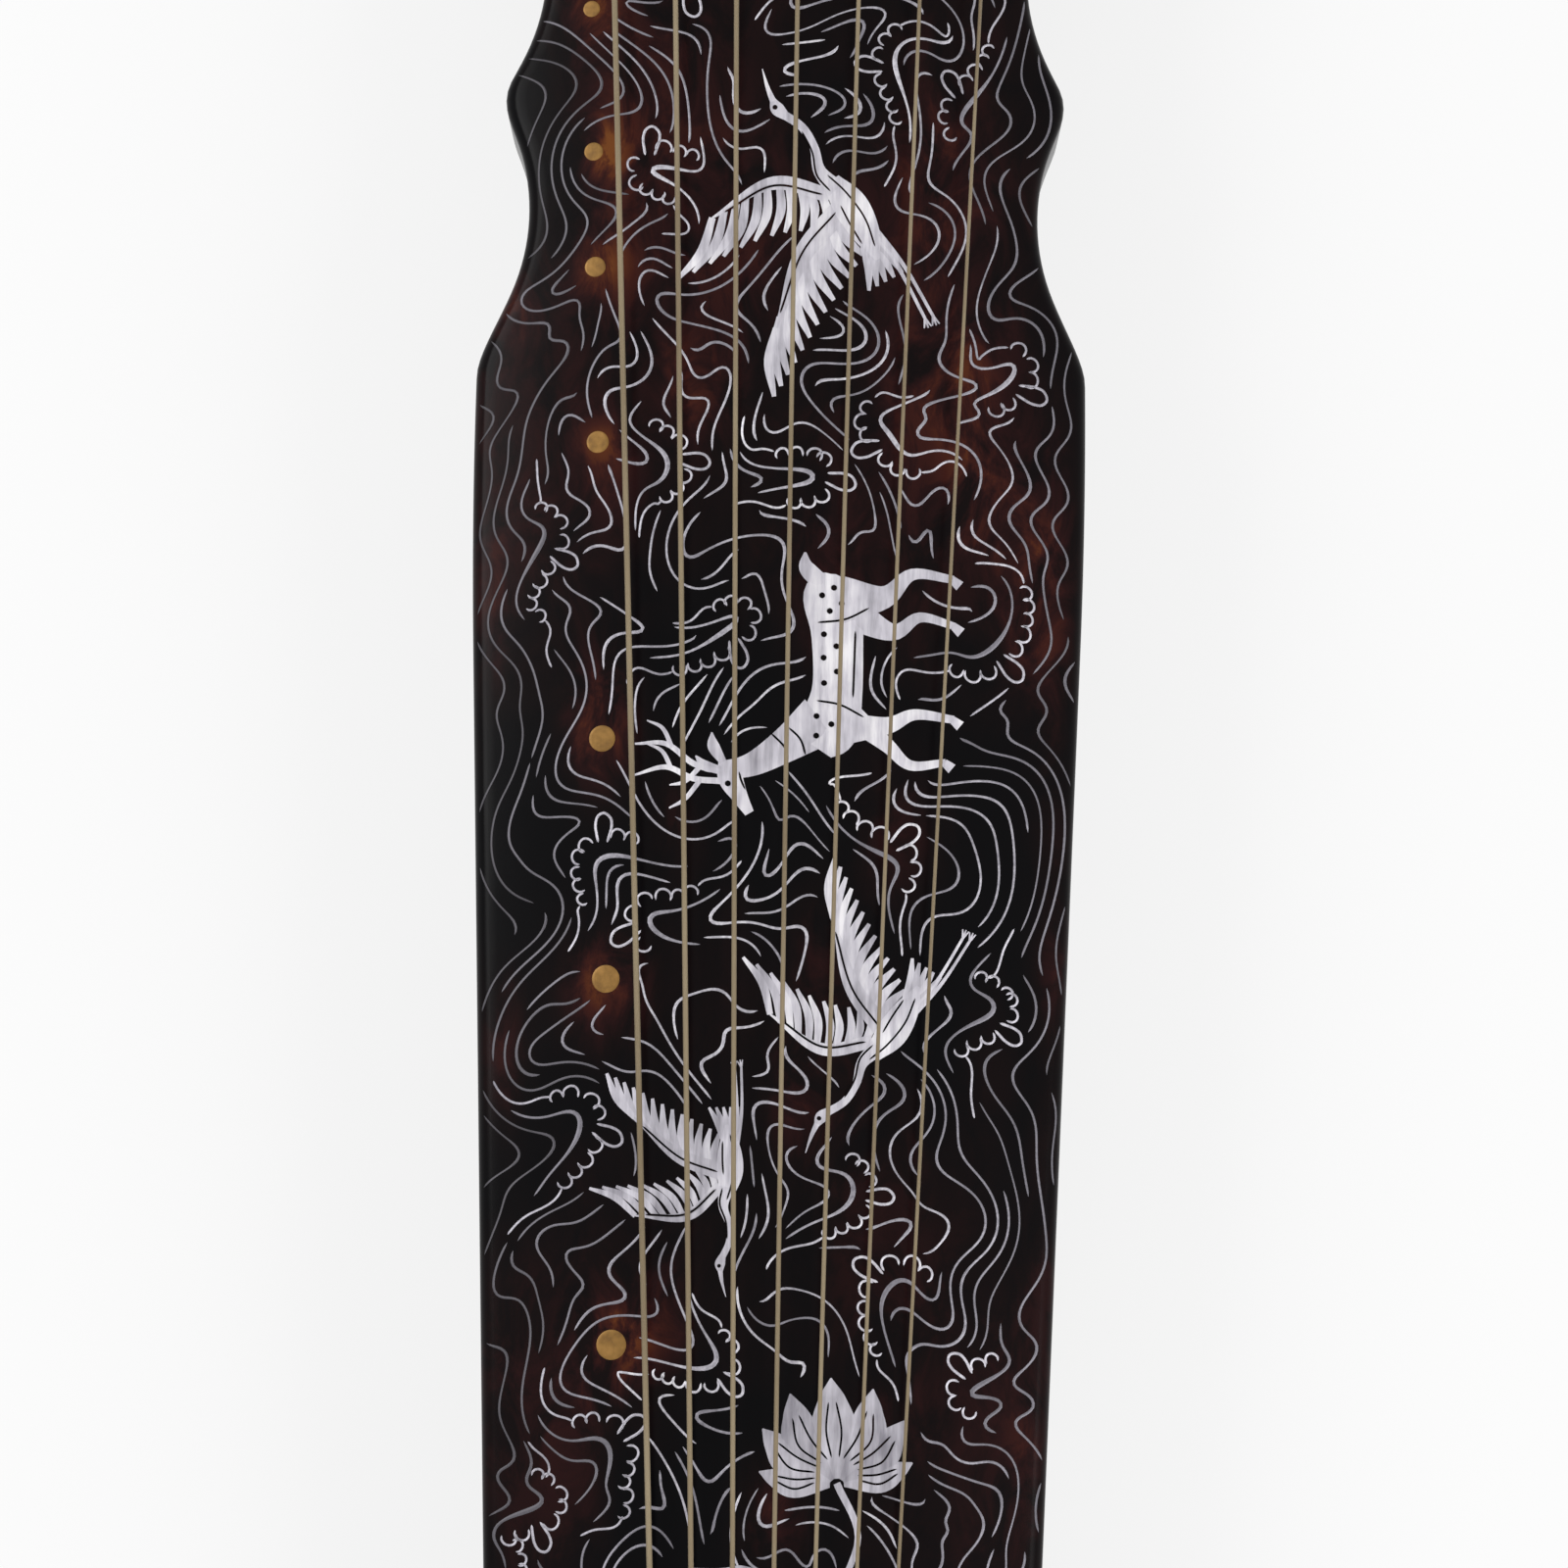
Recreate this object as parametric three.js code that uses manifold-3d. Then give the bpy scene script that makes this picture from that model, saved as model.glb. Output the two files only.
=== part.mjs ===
// Guqin: a seven-stringed zither, a long hollow box made of an arched top board and a flat bottom board.
// Lengths are in millimetres. X runs across the board with the row of inlaid studs on the -X side,
// Y runs along it with the head at +Y, and Z is up. The origin is at the middle of the instrument's
// footprint, on the surface that its feet stand on. A place "from the bridge" is a distance along
// the board from the bridge's string edge, and it grows towards the tail.

import * as THREE from 'three';
import { mergeVertices } from 'three/addons/utils/BufferGeometryUtils.js';
import Module from 'manifold-3d';

const wasm = await Module();
wasm.setup();

// Driving sizes of the instrument
const stringLength = 1120;
const headLength = 75;
const tailLength = 23;
const poolRim = 12.5;
const shoulderWidth = 194;
const shoulderPlaceShare = 0.258;
const tailWidth = 136.5;
const bodyDepth = 54;
const bottomThickness = 12;
const standHeight = 35;
const archRadius = 360;

// Clearances and fine values that many pieces share
const seatGap = 0.3;
const overrun = 4;
const weldDistance = 0.001;

// Outline: round bites cut from the tapered board give the linked arcs of the neck and of the waist
const biteRadius = 66;
const biteReachShare = 0.8;
const fineStepsPerBite = 9;
const neckBiteShares = [{ place: 0.1118, leftHalf: 0.3943 }, { place: 0.1831, leftHalf: 0.4144 }];
const waistBiteShares = [{ place: 0.6607, leftHalf: 0.379 }, { place: 0.7286, leftHalf: 0.366 }];
const shoulderBlend = 1;
const cuspBlend = 10;
const headCornerRadius = 14;
const tailCornerRadius = 8;

// Top surface: the arch dips towards the head and a little towards the tail
const headDip = 8;
const headDipPlaceShare = 0.268;
const tailDip = 3;
const tailDipPlaceShare = 0.625;
const topEdgeRadius = 4.5;
const bottomEdgeRadius = 3;

// Sound box
const soundboardThickness = 11;
const sideWall = 12;
const chamberStart = 62;
const tailBlockLength = 81;
const islandThickness = 4;
const islandMargin = 8;
const dragonPool = { placeShare: 0.38, length: 214, width: 27, corner: 8 };
const phoenixPond = { placeShare: 0.832, length: 108, width: 26, corner: 8 };
const linerWall = 2;
const heavenPillar = { placeShare: 0.23, size: 20 };
const earthPillar = { placeShare: 0.571, size: 16 };

// Bridge, string-hole plate and peg pool at the head
const bridgeThickness = 10;
const bridgeTopThickness = 6.5;
const bridgeEndMargin = 0.5;
const bridgeHeight = 18;
const bridgeSlotDepth = 2.5;
const bridgeEndFall = 11;
const bridgeEndLength = 8;
const bridgeCrown = 3;
const plateLength = 24;
const plateProud = 0.8;
const plateSlotDepth = 2.4;
const plateHoleDiameter = 5;
const holeLine = 13;
const pegPoolLength = 24;
const pegPoolDepth = 18;
const pegPoolClearance = 1;
const poolPlateThickness = 3;
const loopHoleDiameter = 5.6;

// Pegs
const pegDiameter = 15;
const pegLength = 46.5;
const pegBoreDiameter = 4.4;
const pegBoreDepth = 12;
const pegOutlineShares = [
  [1, 0], [1, 0.07], [0.66, 0.11], [0.66, 0.24], [0.95, 0.31], [0.86, 0.6], [0.72, 0.9], [0.5, 0.985],
];

// Nut, lower nut and tail crowns
const nutWidth = 46;
const nutProud = 2;
const nutDepth = 11;
const nutOverhang = 2;
const nutCornerRadius = 8;
const lowerNutLength = 20;
const lowerNutProud = 2;
const lowerNutTenon = 8;
const lowerNutCornerRadius = 6;
const crownProud = 1.5;
const crownSlotDepth = 2;
const crownLength = 58;
const crownInnerLength = 27;

// Goose feet, foot sockets and peg protectors
const footPlaceShare = 0.7054;
const footInset = 32;
const footDiameter = 30;
const footNeckDiameter = 20;
const footPadHeight = 7;
const footTenonSide = 14;
const footTenonLength = 30;
const socketSide = 30;
const socketHeight = 24;
const protectorWidth = 12;
const protectorLength = 32;
const protectorFootLength = 24;
const protectorTenon = { width: 6, length: 16, height: 7 };
const protectorShares = [[0, 0.86], [0.08, 1], [0.45, 1], [0.7, 1], [1, 1]];

// Strings, from the thickest to the thinnest, and the silk loops that tune them
const stringDiameters = [1.8, 1.65, 1.55, 1.45, 1.35, 1.2, 1.1];
const bridgeSpacing = 21;
const nutSpacing = 5.9;
const bridgeBandShift = 3.5;
const nutBandShift = 3.5;
const windingTurns = 2;
const windingGap = 0.5;
const leftFootStringCount = 4;
const knotDiameter = 4.2;
const knotReach = 3.4;
const knotRingShares = [0.12, 0.35, 0.65];
const loopDiameter = 3;

// Inlaid studs: thirteen string fractions, widest at the middle
const studDiameters = [5.4, 6, 6.6, 7, 8.2, 8.6, 9.2, 8.6, 8.2, 7, 6.6, 6, 5.4];
const studFractionShares = [
  1 / 8, 1 / 6, 1 / 5, 1 / 4, 1 / 3, 2 / 5, 1 / 2, 3 / 5, 2 / 3, 3 / 4, 4 / 5, 5 / 6, 7 / 8,
];
const studThickness = 1.6;
const studHeadOffset = 66.5;
const studNutOffset = 28;

// Steps that curved faces are drawn with
const archSteps = 8;
const roundSteps = 12;
const windingSteps = 24;
const cordSides = 6;
const loopSides = 8;
const bendSteps = 3;
const stripSteps = 14;

// Places that follow from the sizes above
const seamHeight = standHeight + bottomThickness;
const crestHeight = standHeight + bodyDepth;
const boardEnd = stringLength + tailLength;
const chamberEnd = boardEnd - tailBlockLength;
const thickestString = Math.max(...stringDiameters);
const tailReach = nutOverhang + seatGap + thickestString;
const fullLength = headLength + boardEnd + tailReach;
const bridgeY = fullLength / 2 - headLength;
const holeY = bridgeY + bridgeThickness + holeLine;
const poolCeiling = standHeight + pegPoolDepth;
const stringCount = stringDiameters.length;
const middleString = (stringCount - 1) / 2;
const footPlace = stringLength * footPlaceShare;
const footY = bridgeY - footPlace;
const bandReach = bridgeBandShift + middleString * bridgeSpacing;
const bridgeWidth = 2 * (bandReach + bridgeEndLength + bridgeEndMargin);
const pegPoolWidth = 2 * (bandReach + pegDiameter / 2 + pegPoolClearance);
const headWidth = pegPoolWidth + 2 * poolRim;
const shoulderPlace = stringLength * shoulderPlaceShare;
const headDipPlace = stringLength * headDipPlaceShare;
const tailDipPlace = stringLength * tailDipPlaceShare;
const neckBites = neckBiteShares.map(biteAt);
const waistBites = waistBiteShares.map(biteAt);
const footReach = outlineHalf(footPlace) - footInset;

function biteAt(shares) {
  return { place: stringLength * shares.place, leftHalf: shoulderWidth * shares.leftHalf };
}

function placeOf(piece) {
  return stringLength * piece.placeShare;
}

function alongY(fromBridge) {
  return bridgeY - fromBridge;
}

// The smaller of two lengths, rounded off where they cross
function softMin(a, b, blend) {
  const share = Math.max(blend - Math.abs(a - b), 0) / blend;
  return Math.min(a, b) - (share * share * blend) / 4;
}

function easeShare(value) {
  const share = Math.min(Math.max(value, 0), 1);
  return share * share * (3 - 2 * share);
}

// Half the width of the outline: two straight tapers meet at the shoulder, less the round bites
function outlineHalf(fromBridge) {
  const headShare = (fromBridge + headLength) / (shoulderPlace + headLength);
  const tailShare = (fromBridge - shoulderPlace) / (boardEnd - shoulderPlace);
  const headTaper = (headWidth + (shoulderWidth - headWidth) * headShare) / 2;
  const tailTaper = (shoulderWidth - (shoulderWidth - tailWidth) * tailShare) / 2;
  let half = softMin(headTaper, tailTaper, shoulderBlend);
  for (const bite of [...neckBites, ...waistBites]) {
    const along = fromBridge - bite.place;
    if (Math.abs(along) < biteRadius) {
      const depth = biteRadius - Math.sqrt(biteRadius ** 2 - along ** 2);
      half = softMin(half, bite.leftHalf + depth, cuspBlend);
    }
  }
  return half - cornerLoss(fromBridge + headLength, headCornerRadius)
    - cornerLoss(boardEnd - fromBridge, tailCornerRadius);
}

// What a rounded corner takes off the half width at a given distance from the end
function cornerLoss(toEnd, radius) {
  const inside = Math.max(radius - toEnd, 0);
  return radius - Math.sqrt(Math.max(radius ** 2 - inside ** 2, 0));
}

function crestAt(fromBridge) {
  const headShare = easeShare((headDipPlace - fromBridge) / headDipPlace);
  const tailShare = easeShare((fromBridge - tailDipPlace) / (boardEnd - tailDipPlace));
  return crestHeight - headDip * headShare - tailDip * tailShare;
}

function archHeight(across, fromBridge) {
  return crestAt(fromBridge) - across ** 2 / (2 * archRadius);
}

// A closed body skinned over a chain of rings that hold as many points each
function loftOf(rings) {
  const count = rings[0].length;
  const positions = [];
  const index = [];
  for (const ring of rings) {
    for (const point of ring) positions.push(point.x, point.y, point.z);
  }
  for (let row = 0; row + 1 < rings.length; row += 1) {
    for (let side = 0; side < count; side += 1) {
      const next = (side + 1) % count;
      const a = row * count + side;
      const b = row * count + next;
      index.push(a, b, a + count, b, b + count, a + count);
    }
  }
  for (const last of [false, true]) {
    const ring = rings[last ? rings.length - 1 : 0];
    const first = last ? (rings.length - 1) * count : 0;
    const middle = new THREE.Vector3();
    for (const point of ring) middle.addScaledVector(point, 1 / count);
    const hub = positions.length / 3;
    positions.push(middle.x, middle.y, middle.z);
    for (let side = 0; side < count; side += 1) {
      const a = first + side;
      const b = first + (side + 1) % count;
      if (last) index.push(a, b, hub);
      else index.push(b, a, hub);
    }
  }
  const geometry = new THREE.BufferGeometry();
  geometry.setAttribute('position', new THREE.Float32BufferAttribute(positions, 3));
  geometry.setIndex(index);
  if (signedVolume(geometry) < 0) {
    for (let i = 0; i < index.length; i += 3) {
      [index[i + 1], index[i + 2]] = [index[i + 2], index[i + 1]];
    }
    geometry.setIndex(index);
  }
  return geometry;
}

function signedVolume(geometry) {
  const position = geometry.attributes.position;
  const index = geometry.index;
  const a = new THREE.Vector3();
  const b = new THREE.Vector3();
  const c = new THREE.Vector3();
  let volume = 0;
  for (let i = 0; i < index.count; i += 3) {
    a.fromBufferAttribute(position, index.getX(i));
    b.fromBufferAttribute(position, index.getX(i + 1));
    c.fromBufferAttribute(position, index.getX(i + 2));
    volume += a.dot(b.cross(c)) / 6;
  }
  return volume;
}

// Joins and cuts
function solidOf(geometry) {
  const bare = geometry.clone();
  bare.deleteAttribute('normal');
  bare.deleteAttribute('uv');
  const merged = mergeVertices(bare, weldDistance);
  return new wasm.Manifold(new wasm.Mesh({
    numProp: 3,
    vertProperties: merged.attributes.position.array,
    triVerts: Uint32Array.from(merged.index.array),
  }));
}

function geometryOf(solid) {
  const mesh = solid.getMesh();
  const geometry = new THREE.BufferGeometry();
  geometry.setAttribute('position', new THREE.BufferAttribute(mesh.vertProperties, 3));
  geometry.setIndex(new THREE.BufferAttribute(mesh.triVerts, 1));
  return geometry;
}

function cut(geometry, cutters) {
  let solid = solidOf(geometry);
  for (const cutter of cutters) solid = solid.subtract(solidOf(cutter));
  return geometryOf(solid);
}

function join(geometries) {
  let solid = solidOf(geometries[0]);
  for (const other of geometries.slice(1)) solid = solid.add(solidOf(other));
  return geometryOf(solid);
}

// Simple shapes placed by their middle in X and Y and by their lower and upper heights
function blockAt(x, y, width, length, low, high) {
  return new THREE.BoxGeometry(width, length, high - low).translate(x, y, (low + high) / 2);
}

function rodAt(x, y, diameter, low, high) {
  return new THREE.CylinderGeometry(diameter / 2, diameter / 2, high - low, roundSteps)
    .rotateX(Math.PI / 2)
    .translate(x, y, (low + high) / 2);
}

function roundedSlot(x, y, width, length, corner, low, high) {
  const shape = new THREE.Shape();
  const halfWidth = width / 2;
  const halfLength = length / 2;
  shape.moveTo(halfWidth, halfLength - corner);
  shape.absarc(halfWidth - corner, halfLength - corner, corner, 0, Math.PI / 2);
  shape.absarc(corner - halfWidth, halfLength - corner, corner, Math.PI / 2, Math.PI);
  shape.absarc(corner - halfWidth, corner - halfLength, corner, Math.PI, Math.PI * 1.5);
  shape.absarc(halfWidth - corner, corner - halfLength, corner, Math.PI * 1.5, Math.PI * 2);
  return new THREE.ExtrudeGeometry(shape, {
    depth: high - low,
    bevelEnabled: false,
    curveSegments: bendSteps,
  }).translate(x, y, low);
}

function turnedAt(profile, x, y) {
  return new THREE.LatheGeometry(profile.map(([r, z]) => new THREE.Vector2(r, z)), roundSteps)
    .rotateX(Math.PI / 2)
    .translate(x, y, 0);
}

// Places along the board where its cross-sections are drawn, closer where the outline curves
function boardStations() {
  const places = [];
  for (let i = 0; i <= bendSteps; i += 1) {
    const angle = (i / bendSteps) * (Math.PI / 2);
    places.push(-headLength + headCornerRadius * (1 - Math.cos(angle)));
    places.push(boardEnd - tailCornerRadius * (1 - Math.cos(angle)));
  }
  const curved = [neckBites, waistBites].map((bites) => [
    Math.min(...bites.map((bite) => bite.place)) - biteRadius * biteReachShare,
    Math.max(...bites.map((bite) => bite.place)) + biteRadius * biteReachShare,
  ]);
  const fineStep = biteRadius / fineStepsPerBite;
  const coarseStep = biteRadius;
  for (const [start, end] of curved) {
    const steps = Math.round((end - start) / fineStep);
    for (let i = 0; i <= steps; i += 1) places.push(start + ((end - start) * i) / steps);
  }
  const straights = [
    [-headLength + headCornerRadius, curved[0][0]],
    [curved[0][1], curved[1][0]],
    [curved[1][1], boardEnd - tailCornerRadius],
  ];
  for (const [start, end] of straights) {
    const steps = Math.max(Math.round((end - start) / coarseStep), 1);
    for (let i = 1; i < steps; i += 1) places.push(start + ((end - start) * i) / steps);
  }
  return places.sort((a, b) => a - b);
}

// Angles that share out a quarter turn, for rounded edges
function quarterAngles() {
  return Array.from({ length: bendSteps + 1 }, (_, i) => (i / bendSteps) * (Math.PI / 2));
}

// Points across the arch: the two rounded edges, and even steps between them
function archRow(half, edgeRadius) {
  const flat = half - edgeRadius;
  const edge = quarterAngles().slice(0, -1);
  const row = edge.map((angle) => [
    flat + edgeRadius * Math.cos(angle),
    edgeRadius * (1 - Math.sin(angle)),
  ]);
  for (let i = 0; i <= archSteps; i += 1) row.push([flat * (1 - (2 * i) / archSteps), 0]);
  for (const [x, drop] of row.slice(0, edge.length).reverse()) row.push([-x, drop]);
  return row;
}

function topBoardBlank() {
  return loftOf(boardStations().map((place) => {
    const half = outlineHalf(place);
    const ring = archRow(half, topEdgeRadius).map(([x, drop]) => (
      new THREE.Vector3(x, alongY(place), archHeight(x, place) - drop)
    ));
    ring.push(new THREE.Vector3(-half, alongY(place), seamHeight));
    ring.push(new THREE.Vector3(half, alongY(place), seamHeight));
    return ring;
  }));
}

function bottomBoardBlank() {
  const edge = quarterAngles();
  return loftOf(boardStations().map((place) => {
    const half = outlineHalf(place);
    const right = edge.map((angle) => [
      half - bottomEdgeRadius * (1 - Math.cos(angle)),
      standHeight + bottomEdgeRadius * (1 - Math.sin(angle)),
    ]);
    const outline = [[half, seamHeight], ...right];
    const mirrored = outline.map(([x, z]) => [-x, z]).reverse();
    return [...outline, ...mirrored].map(([x, z]) => new THREE.Vector3(x, alongY(place), z));
  }));
}

// The hollow of the top board: a wall all round, a curved ceiling, and open below
function chamberCutter() {
  const inside = boardStations().filter((place) => place > chamberStart && place < chamberEnd);
  const places = inside.filter((_, i) => i % 2 === 1);
  const ceilingShares = Array.from({ length: archSteps + 1 }, (_, i) => 1 - (2 * i) / archSteps);
  const hollow = loftOf([chamberStart, ...places, chamberEnd].map((place) => {
    const half = outlineHalf(place) - sideWall;
    const ring = ceilingShares.map((share) => new THREE.Vector3(
      half * share,
      alongY(place),
      archHeight(half * share, place) - soundboardThickness,
    ));
    ring.push(new THREE.Vector3(-half, alongY(place), seamHeight - overrun));
    ring.push(new THREE.Vector3(half, alongY(place), seamHeight - overrun));
    return ring;
  }));
  const islands = [dragonPool, phoenixPond].map((hole) => {
    const ceiling = crestAt(placeOf(hole)) - soundboardThickness;
    return blockAt(
      0,
      alongY(placeOf(hole)),
      hole.width + 2 * islandMargin,
      hole.length + 2 * islandMargin,
      ceiling - islandThickness,
      ceiling + overrun,
    );
  });
  return cut(hollow, islands);
}

// Bridge, plate and their slots are strips that follow the arch across the board
function stripAcross(halfSpan, sectionAt) {
  const straight = halfSpan - bridgeEndLength;
  const xs = [-halfSpan, -halfSpan + bridgeEndLength / 2];
  for (let i = 0; i <= stripSteps; i += 1) xs.push(straight * ((2 * i) / stripSteps - 1));
  xs.push(halfSpan - bridgeEndLength / 2, halfSpan);
  return loftOf(xs.map((x) => sectionAt(x).map(([y, z]) => new THREE.Vector3(x, y, z))));
}

function bridgeTopAt(x) {
  const crown = bridgeCrown * (2 * x / bridgeWidth) ** 2;
  const toEnd = bridgeWidth / 2 - Math.abs(x);
  const fall = bridgeEndFall * (1 - easeShare(toEnd / bridgeEndLength));
  return crestAt(0) + bridgeHeight - crown - fall;
}

function bridgeGeometry() {
  const taper = (bridgeThickness - bridgeTopThickness) / 2;
  const round = bridgeTopThickness / 4;
  return stripAcross(bridgeWidth / 2, (x) => {
    const bottom = archHeight(x, 0) - bridgeSlotDepth;
    const top = bridgeTopAt(x);
    return [
      [bridgeY, bottom],
      [bridgeY, top - bridgeHeight / 2],
      [bridgeY, top - round],
      [bridgeY + round, top],
      [bridgeY + bridgeThickness - 2 * taper - round, top],
      [bridgeY + bridgeThickness - 2 * taper, top - round],
      [bridgeY + bridgeThickness, top - bridgeHeight / 2],
      [bridgeY + bridgeThickness, bottom],
    ];
  });
}

function stripSlot(width, front, back, depth) {
  return stripAcross(width / 2 + seatGap, (x) => [
    [front - seatGap, archHeight(x, 0) - depth - seatGap],
    [front - seatGap, archHeight(x, 0) + overrun],
    [back + seatGap, archHeight(x, 0) + overrun],
    [back + seatGap, archHeight(x, 0) - depth - seatGap],
  ]);
}

const plateFront = bridgeY + bridgeThickness + seatGap;
const plateBack = plateFront + plateLength;

function plateGeometry() {
  const blank = stripAcross(bridgeWidth / 2, (x) => [
    [plateFront, archHeight(x, 0) - plateSlotDepth],
    [plateFront, archHeight(x, 0) + plateProud],
    [plateBack, archHeight(x, 0) + plateProud],
    [plateBack, archHeight(x, 0) - plateSlotDepth],
  ]);
  return cut(blank, stringXs(bridgeBandShift, bridgeSpacing).map((x) => (
    rodAt(x, holeY, plateHoleDiameter, seamHeight, crestHeight)
  )));
}

// Strings lie side by side at even spacings, string one nearest the studs
function stringXs(shift, spacing) {
  return stringDiameters.map((_, i) => shift + (i - middleString) * spacing);
}

// Inlaid studs lie tilted with the arch
function studPlace(i) {
  const share = studFractionShares[i];
  const fromBridge = stringLength * share;
  const x = -(studHeadOffset + (studNutOffset - studHeadOffset) * share);
  return { x, y: alongY(fromBridge), z: archHeight(x, fromBridge), tilt: -x / archRadius };
}

function studGeometry(i, gap, above) {
  const place = studPlace(i);
  const radius = studDiameters[i] / 2 + gap;
  const depth = studThickness + gap;
  return new THREE.CylinderGeometry(radius, radius, depth + above, roundSteps)
    .translate(0, (above - depth) / 2, 0)
    .rotateX(Math.PI / 2)
    .rotateY(-place.tilt)
    .translate(place.x, place.y, place.z);
}

// Tail crowns: thin plates on the two corners of the tail, with a curved inner end
function crownHalfSpan() {
  return outlineHalf(boardEnd - crownLength / 2) - topEdgeRadius;
}

function crownGeometry(side, gap, below, above) {
  const inner = nutWidth / 2 + 2 * seatGap - gap;
  const outer = crownHalfSpan() - seatGap * 2 + gap;
  const steps = archSteps;
  const rings = [];
  for (let i = 0; i <= steps; i += 1) {
    const share = i / steps;
    const x = inner + (outer - inner) * share;
    const reach = crownInnerLength + (crownLength - crownInnerLength) * easeShare(share);
    const corner = cornerLoss(outer - x, tailCornerRadius);
    const front = boardEnd - reach - gap;
    const end = boardEnd - seatGap - corner + (gap > 0 ? overrun : 0);
    const middle = (front + end) / 2;
    rings.push([front, middle, end].map((place) => (
      new THREE.Vector3(side * x, alongY(place), archHeight(x, place) + above)
    )).concat([end, middle, front].map((place) => (
      new THREE.Vector3(side * x, alongY(place), archHeight(x, place) - below)
    ))));
  }
  return loftOf(rings);
}

// Nut: a block let into the tail, its top rounded over the end
const nutTop = archHeight(nutWidth / 2, stringLength) + nutProud;
const nutEnd = boardEnd + nutOverhang;

function roundedBlock(width, points, corner, from) {
  const shape = new THREE.Shape();
  shape.moveTo(points[0][0], points[0][1]);
  for (const [y, z] of points.slice(1, from)) shape.lineTo(y, z);
  shape.absarc(corner.y, corner.z, corner.radius, corner.start, corner.end, corner.clockwise);
  for (const [y, z] of points.slice(from)) shape.lineTo(y, z);
  return new THREE.ExtrudeGeometry(shape, {
    depth: width,
    bevelEnabled: false,
    curveSegments: bendSteps,
  })
    .rotateX(Math.PI / 2)
    .rotateZ(Math.PI / 2)
    .translate(-width / 2, 0, 0);
}

function nutGeometry() {
  const front = alongY(stringLength);
  const end = alongY(nutEnd);
  return roundedBlock(
    nutWidth,
    [[end, nutTop - nutDepth], [front, nutTop - nutDepth], [front, nutTop]],
    {
      y: end + nutCornerRadius,
      z: nutTop - nutCornerRadius,
      radius: nutCornerRadius,
      start: Math.PI / 2,
      end: Math.PI,
      clockwise: false,
    },
    3,
  );
}

function lowerNutGeometry() {
  const end = alongY(nutEnd);
  const front = end + lowerNutLength;
  const low = standHeight - lowerNutProud;
  return roundedBlock(
    nutWidth,
    [[front, standHeight + lowerNutTenon], [end, standHeight + lowerNutTenon], [front, low]],
    {
      y: end + lowerNutCornerRadius,
      z: low + lowerNutCornerRadius,
      radius: lowerNutCornerRadius,
      start: Math.PI,
      end: Math.PI * 1.5,
      clockwise: false,
    },
    2,
  );
}

// Pegs: turned, with a flat bearing face on top and an axial bore for the silk loop
const pegTop = poolCeiling - poolPlateThickness - seatGap;

function pegProfile() {
  const radius = pegDiameter / 2;
  const outer = pegOutlineShares.map(([r, z]) => [r * radius, pegTop - z * pegLength]);
  return [
    [0, pegTop - pegLength],
    ...outer.reverse(),
    [pegBoreDiameter / 2, pegTop],
    [pegBoreDiameter / 2, pegTop - pegBoreDepth],
    [0, pegTop - pegBoreDepth],
  ];
}

// Goose foot: a pad, a neck for the strings and a square tenon
function footGeometry(x) {
  const radius = footDiameter / 2;
  const neck = footNeckDiameter / 2;
  const flare = footPadHeight / 3;
  const turned = turnedAt([
    [0, 0], [radius - flare / 2, 0], [radius, flare], [radius, footPadHeight - flare],
    [neck + flare / 2, footPadHeight], [neck, footPadHeight + flare], [neck, standHeight], [0, standHeight],
  ], x, footY);
  const tenon = blockAt(
    x, footY, footTenonSide, footTenonSide, footPadHeight, standHeight + footTenonLength,
  );
  return join([turned, tenon]);
}

function protectorGeometry(side) {
  const x = side * (pegPoolWidth / 2 + seatGap + protectorWidth / 2);
  const rings = protectorShares.map(([share, narrow]) => {
    const grow = easeShare(share);
    const length = protectorFootLength + (protectorLength - protectorFootLength) * grow;
    const halfX = (protectorWidth * narrow) / 2;
    const halfY = (length * narrow) / 2;
    const z = standHeight * share;
    return [[1, 1], [-1, 1], [-1, -1], [1, -1]].map(([a, b]) => (
      new THREE.Vector3(x + a * halfX, holeY + b * halfY, z)
    ));
  });
  const tenon = blockAt(
    x,
    holeY,
    protectorTenon.width,
    protectorTenon.length,
    standHeight / 2,
    standHeight + protectorTenon.height,
  );
  return join([loftOf(rings), tenon]);
}

// A tube of rings carried along a chain of centres, each with its own radius
function cordTube(centres, radii, sides) {
  const rings = [];
  const direction = new THREE.Vector3();
  const previous = new THREE.Vector3().subVectors(centres[1], centres[0]).normalize();
  const out = new THREE.Vector3(1, 0, 0);
  out.addScaledVector(previous, -out.dot(previous)).normalize();
  const turn = new THREE.Quaternion();
  centres.forEach((centre, i) => {
    const before = centres[Math.max(i - 1, 0)];
    const after = centres[Math.min(i + 1, centres.length - 1)];
    direction.subVectors(after, before).normalize();
    turn.setFromUnitVectors(previous, direction);
    out.applyQuaternion(turn);
    previous.copy(direction);
    const ring = [];
    for (let side = 0; side < sides; side += 1) {
      const angle = (side / sides) * Math.PI * 2;
      const arm = out.clone().applyAxisAngle(direction, angle).multiplyScalar(radii[i]);
      ring.push(arm.add(centre));
    }
    rings.push(ring);
  });
  return loftOf(rings);
}

// A chain of straight runs whose corners are rounded off within a given reach
function roundedRoute(corners, reach) {
  const route = [corners[0]];
  for (let i = 1; i + 1 < corners.length; i += 1) {
    const corner = corners[i];
    const start = corner.clone().lerp(corners[i - 1], reach[i] / corner.distanceTo(corners[i - 1]));
    const end = corner.clone().lerp(corners[i + 1], reach[i] / corner.distanceTo(corners[i + 1]));
    route.push(...new THREE.QuadraticBezierCurve3(start, corner, end).getPoints(bendSteps));
  }
  route.push(corners[corners.length - 1]);
  return route;
}

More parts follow.
